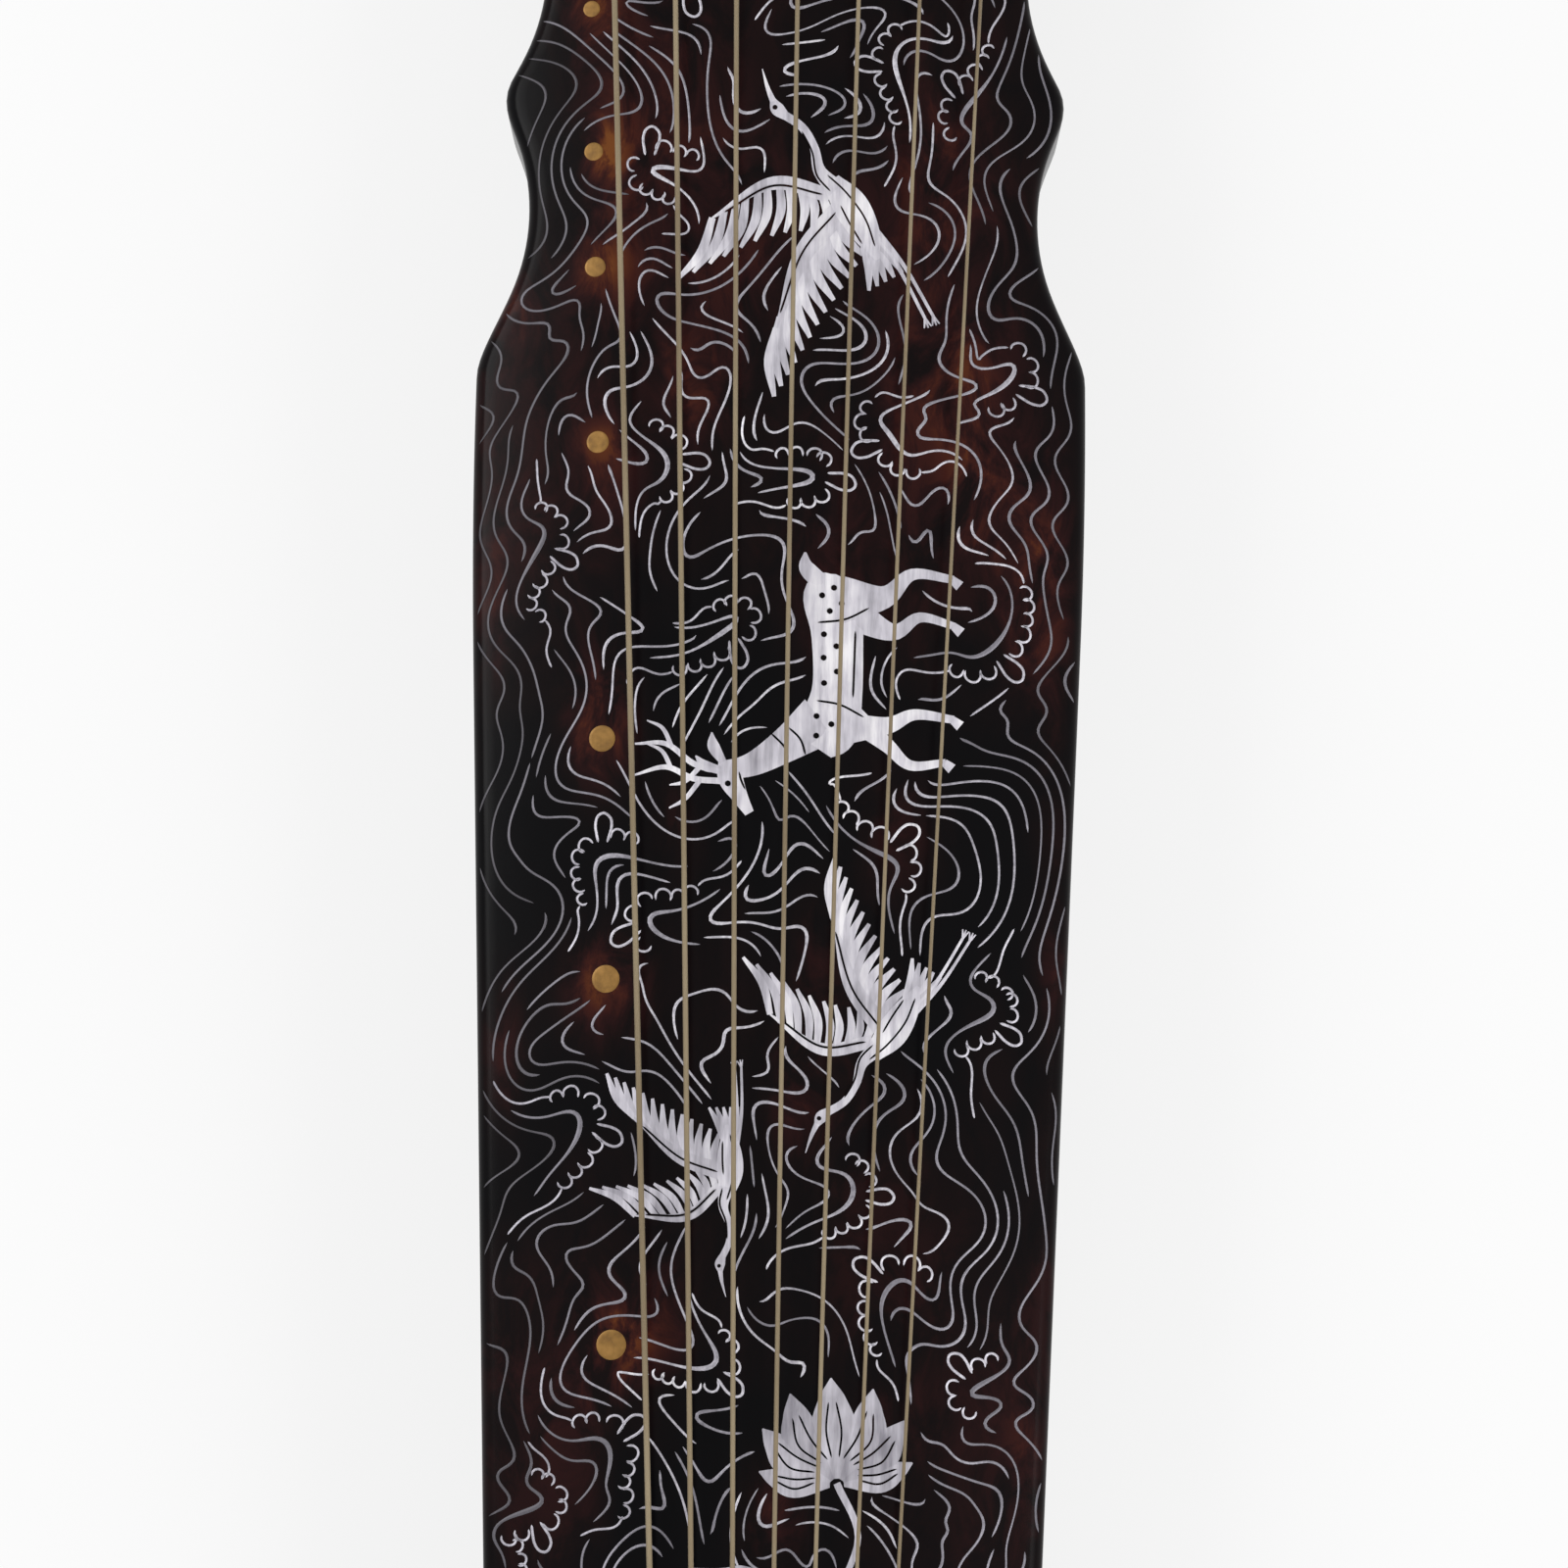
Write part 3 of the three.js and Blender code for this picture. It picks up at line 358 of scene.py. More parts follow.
# Soundboard
# A long arched board with rounded edges and linked arcs at its neck and waist. It is hollowed from
# below, leaving bare wood, two thick islands over the sound holes and a recess for the pegs.
crest, arch_radius = 0.089, 0.360
head_dip, head_dip_length = 0.008, 0.268 * string_length
tail_dip, tail_dip_start = 0.003, 0.700
top_edge, end_edge = 0.0045, 0.002
board_thickness = 0.011
side_wall, peg_pool_wall = 0.012, 0.006
peg_pool_ceiling = 0.0533
chamber_start, chamber_end = 0.062, 1.062
pool_wall_end = 0.020
island_half_width, island_drop = 0.0215, 0.004
dragon_island_reach, phoenix_island_reach = 0.115, 0.062


def arch_height(x, u):
    """The arch before its edges are rounded: the crest, which dips to the head and to the tail by eased
    steps, less x^2 over twice the arch's radius."""
    to_head = head_dip * ease((head_dip_length - u) / head_dip_length)
    to_tail = tail_dip * ease((u - tail_dip_start) / (board_end - tail_dip_start))
    return crest - to_head - to_tail - x * x / (2 * arch_radius)


def face_height(x, u):
    """The lacquered face: the arch, less r - sqrt(r^2 - past^2) over the rounded edge."""
    past = np.clip(np.abs(x) - outline_half(u) + top_edge, 0, top_edge)
    return arch_height(x, u) - top_edge + np.sqrt(top_edge**2 - past**2)


def soundboard_rings():
    """Rings across the board at places along it: the rounded face from side to side, then the underside
    from side to side, which lies flat on the seam or rises into the hollows. Places are doubled where a
    hollow starts or ends, and points across are doubled at the islands' sides."""
    pool = [bridge_y - peg_row_y - peg_pool_length / 2, bridge_y - peg_row_y + peg_pool_length / 2]
    chamber = [chamber_start, chamber_end]
    islands = []
    for place, reach in [
        (dragon_pool_place, dragon_island_reach), (phoenix_pond_place, phoenix_island_reach),
    ]:
        islands.append([place - reach, place + reach])
    steps = chamber + islands[0] + islands[1] + pool
    plain = board_places[np.abs(board_places[:, None] - np.array(steps)).min(1) > 0.0004]
    u = np.concatenate([plain, np.repeat(steps, 2)])
    nudge = np.concatenate([np.zeros(len(plain)), np.tile([-1, 1], len(steps))]) * 1e-9
    order = np.argsort(u + nudge)
    u, probe = u[order, None], (u + nudge)[order, None]
    in_chamber, in_pool, on_dragon_island, on_phoenix_island = [
        (probe > start) & (probe < end) for start, end in (chamber, pool, *islands)
    ]
    half = outline_half(u)
    arc = quarter[:-1]
    flat = half - top_edge
    spread = np.linspace(1, -1, 73)
    x_right = flat + top_edge * np.cos(arc)
    x_top = np.concatenate([x_right, flat * spread, -x_right[:, ::-1]], 1)
    drop_right = np.broadcast_to(top_edge * (1 - np.sin(arc)), x_right.shape)
    drop = np.concatenate([drop_right, np.zeros((len(u), len(spread))), drop_right[:, ::-1]], 1)
    inside = np.maximum(end_edge - np.minimum(u + head_length, board_end - u), 0)
    z_top = arch_height(x_top, u) - drop - end_edge + np.sqrt(np.maximum(end_edge**2 - inside**2, 0))
    pool_half = np.minimum(peg_pool_width / 2, half - peg_pool_wall)
    hollow_half = np.where(u < pool_wall_end, pool_half, half - side_wall)
    outer = np.linspace(0, 1, 6)
    inner = np.linspace(-1, 1, 9)
    left = -hollow_half + (hollow_half - island_half_width) * outer
    x_low = np.concatenate([left, island_half_width * inner + 0 * u, -left[:, ::-1]], 1)
    ceiling = np.where(in_pool, peg_pool_ceiling, seam)
    ceiling = np.where(in_chamber, arch_height(x_low, u) - board_thickness, ceiling)
    middle = np.zeros(x_low.shape[1], bool)
    middle[len(outer):len(outer) + len(inner)] = True
    on_island = on_dragon_island | on_phoenix_island
    ceiling = np.where(on_island & middle, crest - board_thickness - island_drop, ceiling)
    wall = np.concatenate([-hollow_half, hollow_half], 1)
    x_all = np.concatenate([x_top, -half, wall[:, :1], x_low, wall[:, 1:], half], 1)
    low = np.full((len(u), 1), seam)
    z_all = np.concatenate([z_top, low, low, ceiling, low, low], 1)
    return np.stack(np.broadcast_arrays(x_all, bridge_y - u, z_all), -1)


soundboard = add_mesh("soundboard_shell", *skin(soundboard_rings()))
band_x, bridge_pitch = 0.0035, 0.021
bridge_xs = band_x + (np.arange(7) - 3) * bridge_pitch
round_turn = np.linspace(0, 2 * np.pi, 25)[:-1]
circle = np.stack([np.cos(round_turn), np.sin(round_turn)], 1)
board_hole_radius = 0.0028
for x in bridge_xs:
    carve(soundboard, *prism(circle * board_hole_radius, (x, peg_row_y), seam + 0.002, crest + 0.006))

# The studs stand at simple shares of the string, on a line that slants towards the strings
hui_shares = np.array([
    1 / 8, 1 / 6, 1 / 5, 1 / 4, 1 / 3, 2 / 5, 1 / 2, 3 / 5, 2 / 3, 3 / 4, 4 / 5, 5 / 6, 7 / 8,
])
hui_line_x, hui_line_slant = 0.0665, 0.0385
hui_x = -(hui_line_x - hui_line_slant * hui_shares)
hui_u = string_length * hui_shares

# Red-brown patches round the studs, along the right edge and between the strings, then a small one under
# each stud: (x, u, reach across, reach along, strength)
glow_patches = np.array([
    (-0.0560, 0.1867, 0.009, 0.014, 0.60), (-0.0565, 0.2240, 0.010, 0.013, 0.50),
    (-0.0545, 0.2840, 0.010, 0.017, 0.46), (-0.0535, 0.3700, 0.010, 0.018, 1.10),
    (-0.0510, 0.4500, 0.013, 0.018, 0.88), (-0.0473, 0.5600, 0.013, 0.018, 0.95),
    (-0.0420, 0.6720, 0.012, 0.018, 0.8), (-0.0405, 0.7467, 0.012, 0.017, 0.75),
    (-0.0380, 0.8400, 0.010, 0.016, 0.75), (-0.0357, 0.8960, 0.010, 0.014, 0.7),
    (-0.0345, 0.9333, 0.009, 0.013, 0.7), (-0.0330, 0.9800, 0.009, 0.012, 0.6),
    (-0.0617, 0.1400, 0.009, 0.014, 0.7), (0.076, 0.325, 0.011, 0.034, 0.52),
    (0.086, 0.345, 0.007, 0.045, 0.45), (0.056, 0.262, 0.012, 0.022, 0.45),
    (0.060, 0.298, 0.010, 0.022, 0.38), (0.045, 0.190, 0.014, 0.024, 0.45),
    (0.088, 0.440, 0.006, 0.035, 0.5), (0.086, 0.520, 0.006, 0.030, 0.4),
    (0.080, 0.600, 0.008, 0.030, 0.42), (-0.082, 0.470, 0.007, 0.024, 0.42),
    (-0.089, 0.330, 0.006, 0.030, 0.35), (-0.084, 0.236, 0.007, 0.015, 0.5),
    (-0.030, 0.262, 0.009, 0.016, 0.45), (0.010, 0.480, 0.011, 0.022, 0.55),
    (0.014, 0.440, 0.008, 0.020, 0.4), (-0.031, 0.548, 0.008, 0.016, 0.6),
    (0.004, 0.612, 0.010, 0.014, 0.8), (0.040, 0.400, 0.012, 0.018, 0.35),
    (-0.030, 0.400, 0.008, 0.020, 0.3), (0.030, 0.700, 0.012, 0.026, 0.5),
    (-0.060, 0.790, 0.008, 0.022, 0.45), (0.058, 0.800, 0.010, 0.030, 0.45),
    (0.000, 0.880, 0.012, 0.024, 0.5), (0.050, 0.960, 0.010, 0.026, 0.5),
    (-0.055, 1.030, 0.009, 0.026, 0.45), (0.020, 1.070, 0.014, 0.022, 0.5),
    (0.060, 0.060, 0.012, 0.026, 0.55), (-0.010, 0.080, 0.014, 0.022, 0.4),
    (-0.070, 0.030, 0.010, 0.022, 0.5), (0.015, 0.330, 0.012, 0.024, 0.35),
    (0.075, 0.010, 0.009, 0.030, 0.4),
    *[(x, u, 0.0064, 0.0064, 0.36) for x, u in zip(hui_x, hui_u)],
])
glow_limit = 1.2
glow_low, glow_rise = 0.062, 0.012


def points_of(piece):
    """The piece's points, a row of x, y and z for each."""
    places = np.empty(len(piece.data.vertices) * 3)
    piece.data.vertices.foreach_get("co", places)
    return places.reshape(-1, 3)


def store(mesh, name, values):
    """Keeps one number at each of a mesh's points, as an attribute."""
    mesh.attributes.new(name, "FLOAT", "POINT").data.foreach_set("value", values)


def paint_glow(piece):
    """Stores the attribute glow at each point: the sum of strength exp(-(dx / across)^2 - (du / along)^2)
    over the patches, held under a limit, and faded out down the sides of the board."""
    x, y, z = points_of(piece).T
    u = bridge_y - y
    glow = np.zeros(len(x))
    for patch_x, patch_u, reach_across, reach_along, strength in glow_patches:
        far = -((x - patch_x) / reach_across) ** 2 - ((u - patch_u) / reach_along) ** 2
        glow += strength * np.exp(far)
    store(piece.data, "glow", np.minimum(glow * ease((z - glow_low) / glow_rise), glow_limit))


def bare_inside(piece, slot_index):
    """Gives the hollow's faces another material: those inside the walls and more than 6 mm under the
    arch, but not the flat seam."""
    mesh = piece.data
    middles = np.empty(len(mesh.polygons) * 3)
    mesh.polygons.foreach_get("center", middles)
    x, y, z = middles.reshape(-1, 3).T
    u = bridge_y - y
    within, under = side_wall / 2, 0.006
    inside = (u > chamber_start - 0.0005) & (u < chamber_end + 0.0005)
    inside &= np.abs(x) < outline_half(u) - within
    inside &= (arch_height(x, u) - z > under) & (z > seam + 0.0002)
    mesh.polygons.foreach_set("material_index", np.where(inside, slot_index, 0).astype(np.int32))


paint_glow(soundboard)
finish_piece(soundboard, lacquer, "lacquer", "soundboard")
soundboard.data.materials.append(fir_along)
bare_inside(soundboard, 1)


# Hui
# Thirteen round brass studs let into the lacquer at the string's fractions, widest at the middle one.
# Each is slightly domed, polished with the board and a little tarnished in soft blotches.
def brass_finish():
    """Brushed brass: golden with fine scratches across and brown tarnish in soft blotches."""
    made, tree, shader = new_material("brushed_brass", Metallic=0.4, Specular_IOR_Level=0.3)
    blotch = object_noise(tree, 260, detail=4, roughness=0.6)
    scratch = object_noise(tree, 2400, (1, 0.06, 1), detail=2)
    colour = ramp(tree, blotch, [
        (0.25, (0.14, 0.070, 0.019)), (0.5, (0.23, 0.121, 0.029)), (0.75, (0.32, 0.170, 0.046)),
    ])
    tree.links.new(colour, shader.inputs["Base Color"])
    tree.links.new(remap(tree, scratch, (0, 1), (0.36, 0.55)), shader.inputs["Roughness"])
    bump(tree, shader, scratch, 0.00003, 0.8)
    return made


def turned(profile, sides, middle):
    """A profile of (radius, height) turned about an upright axis at (x, y)."""
    angle = np.linspace(0, 2 * np.pi, sides + 1)[:-1]
    radius, height = np.asarray(profile, float).T
    x = middle[0] + radius[:, None] * np.cos(angle)
    y = middle[1] + radius[:, None] * np.sin(angle)
    return skin(np.stack(np.broadcast_arrays(x, y, height[:, None]), -1), "open")


brass = brass_finish()
hui_diameters = np.array([5.4, 6, 6.6, 7, 8.2, 8.6, 9.2, 8.6, 8.2, 7, 6.6, 6, 5.4]) / 1000
hui_proud, hui_dome, hui_depth = 0.0001, 0.00006, 0.0012
for k in range(13):
    radius = hui_diameters[k] / 2
    dome = [(radius * r, hui_proud + hui_dome * (1 - r * r)) for r in np.linspace(0, 0.94, 8)]
    points, faces = turned(dome + [(radius, 0.0), (radius, -hui_depth), (0, -hui_depth)], 40, (0, 0))
    tilt = -hui_x[k] / arch_radius
    x, y, z = points.T
    points = np.stack([
        hui_x[k] + x * math.cos(tilt) - z * math.sin(tilt),
        bridge_y - hui_u[k] + y,
        arch_height(hui_x[k], hui_u[k]) + x * math.sin(tilt) + z * math.cos(tilt),
    ], 1)
    stud = add_mesh(f"hui_{k + 1}_stud", points, faces, sharp=50)
    finish_piece(stud, brass, "hui_brass", f"hui_{k + 1}")


# Silver motifs
# Flying cranes, sika deer and lotus laid in silver leaf on the lacquer between the lines. Each is made
# of thin leaves, every one laid a hair over the last, with fine dark lines engraved through them.
square = 0.0005
sheet_rows, sheet_columns = 2520, 420
sheet_start_u, sheet_start_x = -0.085, -0.105


class Sheet:
    """Squares of half a millimetre over the board that remember what is already drawn there."""

    def __init__(self, used=None):
        self.used = np.zeros((sheet_rows, sheet_columns), bool) if used is None else used.copy()

    def squares(self, points):
        row = np.clip(((points[:, 1] - sheet_start_u) / square).astype(int), 0, sheet_rows - 1)
        column = np.clip(((points[:, 0] - sheet_start_x) / square).astype(int), 0, sheet_columns - 1)
        return row, column

    def stamp(self, points, reach):
        n = int(np.ceil(reach / square))
        down, along = np.mgrid[-n:n + 1, -n:n + 1]
        disc = down * down + along * along <= (reach / square) ** 2
        row, column = self.squares(points)
        rows = np.clip(row[:, None] + down[disc], 0, sheet_rows - 1)
        columns = np.clip(column[:, None] + along[disc], 0, sheet_columns - 1)
        self.used[rows, columns] = True

    def taken(self, points):
        return self.used[self.squares(points)]


def curve(points, count):
    """A smooth line through points: on each span 0.5 (2b + (c-a)t + (2a-5b+4c-d)t^2 + (3b-a-3c+d)t^3)."""
    p = np.asarray(points, float)
    ends = np.concatenate([[2 * p[0] - p[1]], p, [2 * p[-1] - p[-2]]])
    t = np.linspace(0, len(p) - 1 - 1e-9, count)
    k = t.astype(int)
    t = (t - k)[:, None]
    a, b, c, d = ends[k], ends[k + 1], ends[k + 2], ends[k + 3]
    return 0.5 * (2 * b + (c - a) * t + (2 * a - 5 * b + 4 * c - d) * t**2 + (3 * b - a - 3 * c + d) * t**3)


def across(path):
    """Unit normals to the left of a flat path."""
    along = np.gradient(path, axis=0)
    along /= np.maximum(np.linalg.norm(along, axis=1), 1e-12)[:, None]
    return np.stack([-along[:, 1], along[:, 0]], 1)


def leaf(points, halves, count=22):
    """A leaf of silver: a smooth spine and its half widths, never under 0.12, in millimetres of the
    motif's own drawing."""
    line = curve(np.column_stack([points, halves]), count)
    return line[:, :2], np.maximum(line[:, 2], 0.12)


def feather(start, reach, half, bow):
    """A leaf from a start along a reach, bowed to one side and narrower at its tip."""
    start, reach = np.asarray(start, float), np.asarray(reach, float)
    side = np.array([-reach[1], reach[0]]) * bow
    return leaf([start, start + reach * 0.5 + side, start + reach], [half * 0.75, half, half * 0.4], 14)


def dot(x, y, radius=0.75):
    """A round leaf: half width sqrt(1 - way^2) of its radius."""
    way = np.linspace(-0.99, 0.99, 9)
    return np.stack([x + radius * way, np.full(9, y)], 1), radius * np.sqrt(1 - way * way)


def crane():
    """A crane in flight, 96 mm from its wing's tip to its bill: leaves, engraved lines and dark dots."""
    leaves = []
    for root, bend, tip, count, half, edge_halves in [
        ((7, 5), (16, 20), (12, 40), 11, 1.35, [2.2, 2.0, 0.3]),
        ((2, 3), (-8, 19), (-26, 33), 13, 1.55, [3.4, 2.7, 0.3]),
    ]:
        front = curve([root, bend, tip], 40)
        near = root[0] < 5
        for t in np.linspace(0.1, 1, count):
            back = np.array([-15 - 8 * t, -5 + 14 * t**1.4] if near else [-12 - 5 * t, 2 + 17 * t**1.5])
            back = back * (0.8 + 0.22 * math.sin(3 * t))
            leaves.append(feather(front[int(t * 39)], back, half, -0.09 if near else 0.10))
        leaves.append(leaf([root, bend, tip], edge_halves))
    for n in range(5):
        leaves.append(feather((-10, 0.5 - 0.7 * n), (-14 + 0.5 * n, 3 - 2.1 * n), 1.25, 0.05))
    for drop in (0.0, -1.8):
        foot = np.array([-37, -9.5 + 1.4 * drop])
        leaves.append(leaf([(-6, -3 + 0.4 * drop), (-20, -7 + drop), foot], [1.2, 0.6, 0.45]))
        for a in (-0.35, 0.0, 0.4):
            leaves.append(leaf([foot, foot + 3 * np.array([-math.cos(a), math.sin(a)])], [0.4, 0.2], 6))
    leaves.append(leaf([(-16, -2), (-8, -1.5), (2, 0.2), (11, 3.2)], [0.6, 4, 5.2, 2.8]))
    leaves.append(leaf([(8, 2.6), (15, 5.4), (22, 4.6), (29, 5.8), (35, 10)], [3, 1.9, 1.35, 1.25, 1.3]))
    leaves.append(leaf([(34, 9.4), (37, 11), (40, 11.4)], [1.3, 2, 0.9]))
    leaves.append(leaf([(39.5, 11.4), (44, 11.6), (50, 11.2)], [0.95, 0.6, 0.12]))
    lines = [
        curve([(-12, -2.6), (-3, -2.6), (6, 0), (13, 3.6)], 30),
        curve([(-10, 0.8), (-3, 2.2), (3, 3)], 20),
        curve([(8, 4.4), (14, 6.6), (21, 5.6), (28, 6.4)], 30),
        curve([(1.5, 5), (-7, 18.5), (-22, 30.6)], 30),
        curve([(8, 7), (15.2, 20), (12.4, 36)], 30),
    ]
    return leaves, lines, [(37.6, 11.5)]


def deer():
    """A standing sika deer, 84 mm from its hooves to its antlers."""
    leaves = [
        leaf([(13, -3), (20, -12), (25, -18), (24, -27)], [3.2, 1.9, 1.3, 0.9]),
        leaf([(-14, -2), (-9, -13), (-13, -20), (-11, -29)], [4.6, 2.2, 1.3, 0.9]),
        leaf([(-21, 5), (-25, 9), (-29, 9.5)], [2.2, 2, 0.3]),
        leaf([(-23, 0.5), (-19, 2), (-8, 1), (6, 0.8), (16, 3), (21, 6)], [1.2, 7.6, 6.6, 6.4, 7.6, 4.6], 30),
        leaf([(14, 5), (20, 13), (25, 21), (27, 27)], [6.6, 4.6, 3.2, 2.4]),
        leaf([(24.5, 28.5), (29, 27.6), (34, 25), (38, 22.6)], [2.2, 3.1, 2, 1.2]),
        leaf([(25, 29.5), (21, 32), (17.5, 32.5)], [0.9, 1.5, 0.2]),
        leaf([(27, 30), (26, 34), (23.5, 36.5)], [0.8, 1.3, 0.2]),
        leaf([(16, -1), (15, -12), (12, -19), (13, -29)], [4.2, 2.2, 1.4, 1]),
        leaf([(-17, 0), (-18, -11), (-24, -18), (-23, -28.5)], [6.2, 2.9, 1.5, 1]),
    ]
    for place, lean in ((27.5, 0.0), (29.9, 3.5)):
        base = np.array([place, 30.0])
        stem = [(0, 0), (0.4 * lean - 2, 7), (lean - 7, 14), (1.6 * lean - 7, 22)]
        front = [(0.3 * lean - 1.6, 5), (0.6 * lean + 2.5, 9), (lean + 3.5, 13)]
        rear = [(0.9 * lean - 6, 12.5), (lean - 11, 15), (lean - 13, 19)]
        leaves.append(leaf(base + np.array(stem), [0.8, 0.75, 0.65, 0.25]))
        leaves.append(leaf(base + np.array(front), [0.65, 0.55, 0.2]))
        leaves.append(leaf(base + np.array(rear), [0.6, 0.5, 0.2]))
    for x, y in ((24, -27), (-11, -29), (13, -29), (-23, -28.5)):
        leaves.append(leaf([(x, y + 0.4), (x + 1.6, y - 1.6)], [1.0, 1.4], 6))
    lines = [
        curve([(-11, 6), (-12, -1), (-15, -7)], 20), curve([(9, 6), (10, 0), (13, -6)], 20),
        curve([(-9, -3.6), (0, -3.4), (8, -3.2)], 20), curve([(27.5, 25.4), (29.5, 24.9), (32, 23.8)], 14),
        curve([(17.5, 17.5), (21, 14), (24, 13)], 14), curve([(16, 13), (19, 10), (23, 8.6)], 14),
    ]
    spots = [(-18, 5), (-14, 3), (-16, 0), (-8, 4.4), (-5, 1.2), (-2, 4.4), (1.5, 1), (4.5, 4.2), (-20, 2)]
    return leaves, lines, [(30.5, 28.2), (13, 6), (15, 2.2), (18, 6)] + spots


def lotus():
    """A lotus in flower with its stem and one leaf, 62 mm high."""
    leaves = [
        leaf([(0, -2), (-4, -14), (1, -28), (-3, -40)], [0.8, 0.7, 0.65, 0.5]),
        leaf([(-1, -22), (8, -27), (16, -26)], [0.6, 0.55, 0.4]),
    ]
    lines = []
    petals = [
        (-78, 15, 3), (78, 15, 3), (-50, 18, 4), (50, 18, 4), (-24, 20, 4.4), (24, 20, 4.4), (0, 21, 4.8),
    ]
    for lean, length, half in petals:
        t = math.radians(lean)
        way = np.array([math.sin(t), math.cos(t)]) * length
        beside = np.array([way[1], -way[0]])
        side = beside * 0.10 * np.sign(lean)
        base = np.array([math.sin(t) * 1.6, math.cos(t) - 2])
        shape = [base, base + way * 0.5 + side, base + way * 0.82 + side * 0.5, base + way * 1.05]
        leaves.append(leaf(shape, [1.1, half, half * 0.66, 0.15]))
        for k in (-0.35, 0.35):
            off = beside / length * k * half
            crease = [base + way * 0.22 + off / 2, base + way * 0.5 + side + off]
            crease.append(base + way * 0.8 + side * 0.6 + off / 2)
            lines.append(curve(crease, 16))
    leaves.append(leaf([(10, -31), (18, -28), (27, -25), (34, -19)], [0.6, 7, 7.2, 0.6]))
    veins = [
        ((12, -30.4), (22, -26.8), (32, -20.6)), ((17, -28.7), (17.6, -26), (18, -23.5)),
        ((22, -26.8), (23.4, -24), (24.5, -21)), ((19, -28), (21.6, -29.4), (24, -31)),
        ((24, -25.6), (26.6, -26.2), (29, -27)), ((27, -23.8), (27.8, -22), (28.6, -20.2)),
    ]
    return leaves, lines + [curve(vein, 16) for vein in veins], []


def slab(top, bottom):
    """A closed sheet between two grids of points, with its rim joined."""
    rows, columns = top.shape[:2]
    index = np.arange(rows * columns).reshape(rows, columns)
    quads = np.stack([index[:-1, :-1], index[:-1, 1:], index[1:, 1:], index[1:, :-1]], -1).reshape(-1, 4)
    below = quads[:, ::-1] + rows * columns
    rim = np.concatenate([index[0, :-1], index[:-1, -1], index[-1, :0:-1], index[:0:-1, 0]])
    after = np.roll(rim, -1)
    sides = np.stack([rim, rim + rows * columns, after + rows * columns, after], 1)
    points = np.concatenate([top.reshape(-1, 3), bottom.reshape(-1, 3)])
    return points, np.concatenate([quads, below, sides]).tolist()


sunk = 0.00006
leaf_swell = 0.00004


def laid_leaf(spine, half, lift):
    """A thin closed leaf on the lacquered face: five points across, sunk a little below, and proud by
    its lift and by its swell (1 - v^2)."""
    v = np.array([-1.0, -0.55, 0.0, 0.55, 1.0])
    flat = spine[:, None] + across(spine)[:, None] * (half[:, None] * v)[..., None]
    z = face_height(flat[..., 0], flat[..., 1])
    y = bridge_y - flat[..., 1]
    top = np.stack([flat[..., 0], y, z + lift + leaf_swell * (1 - v * v)], -1)
    return slab(top, np.stack([flat[..., 0], y, z - sunk], -1))


def lengths(path):
    """Distance along a path at each of its points."""
    return np.concatenate([[0], np.cumsum(np.linalg.norm(np.diff(path, axis=0), axis=1))])


def resampled(path, step, *values):
    """The same path at even steps, and any values along it at those steps."""
    way = lengths(path)
    even = np.linspace(0, way[-1], max(int(round(way[-1] / step)), 3) + 1)
    moved = np.stack([np.interp(even, way, column) for column in path.T], 1)
    return (moved, *[np.interp(even, way, value) for value in values]) if values else moved


def laid_stroke(line, width, step, tip, lift):
    """A low closed ribbon on the lacquered face, four points across. Its width fades at both ends as
    sqrt(1 - (1 - way / tip)^2)."""
    line, width = resampled(line, step, width)
    way = lengths(line)
    to_end = np.clip(np.minimum(way, way[-1] - way) / tip, 0, 1)
    half = width / 2 * np.maximum(np.sqrt(1 - (1 - to_end) ** 2), 0.12)
    off = half[:, None] * np.array([-1.0, -0.7, 0.7, 1.0])
    flat = line[:, None] + across(line)[:, None] * off[..., None]
    z = face_height(flat[..., 0], flat[..., 1]) + np.array([-sunk, lift, lift, -sunk])
    return skin(np.stack([flat[..., 0], bridge_y - flat[..., 1], z], -1))


def gathered(shapes):
    """Many (points, faces) as one."""
    starts = np.cumsum([0] + [len(points) for points, _ in shapes])
    faces = [[i + int(start) for i in face] for start, (_, own) in zip(starts, shapes) for face in own]
    return np.concatenate([points for points, _ in shapes]), faces


def add_drawn(name, shapes, tones, finish):
    """One piece of many drawn shapes, each of which carries its tone as an attribute. Doubled points
    aren't merged, so that strokes that meet stay whole."""
    points, faces = gathered(shapes)
    mesh = bpy.data.meshes.new(name)
    mesh.from_pydata(points.tolist(), [], faces)
    mesh.shade_smooth()
    mesh.set_sharp_from_angle(angle=math.radians(60))
    store(mesh, "tone", np.repeat(tones, [len(own) for own, _ in shapes]))
    finish_piece(placed(name, mesh), finish, "lacquer")


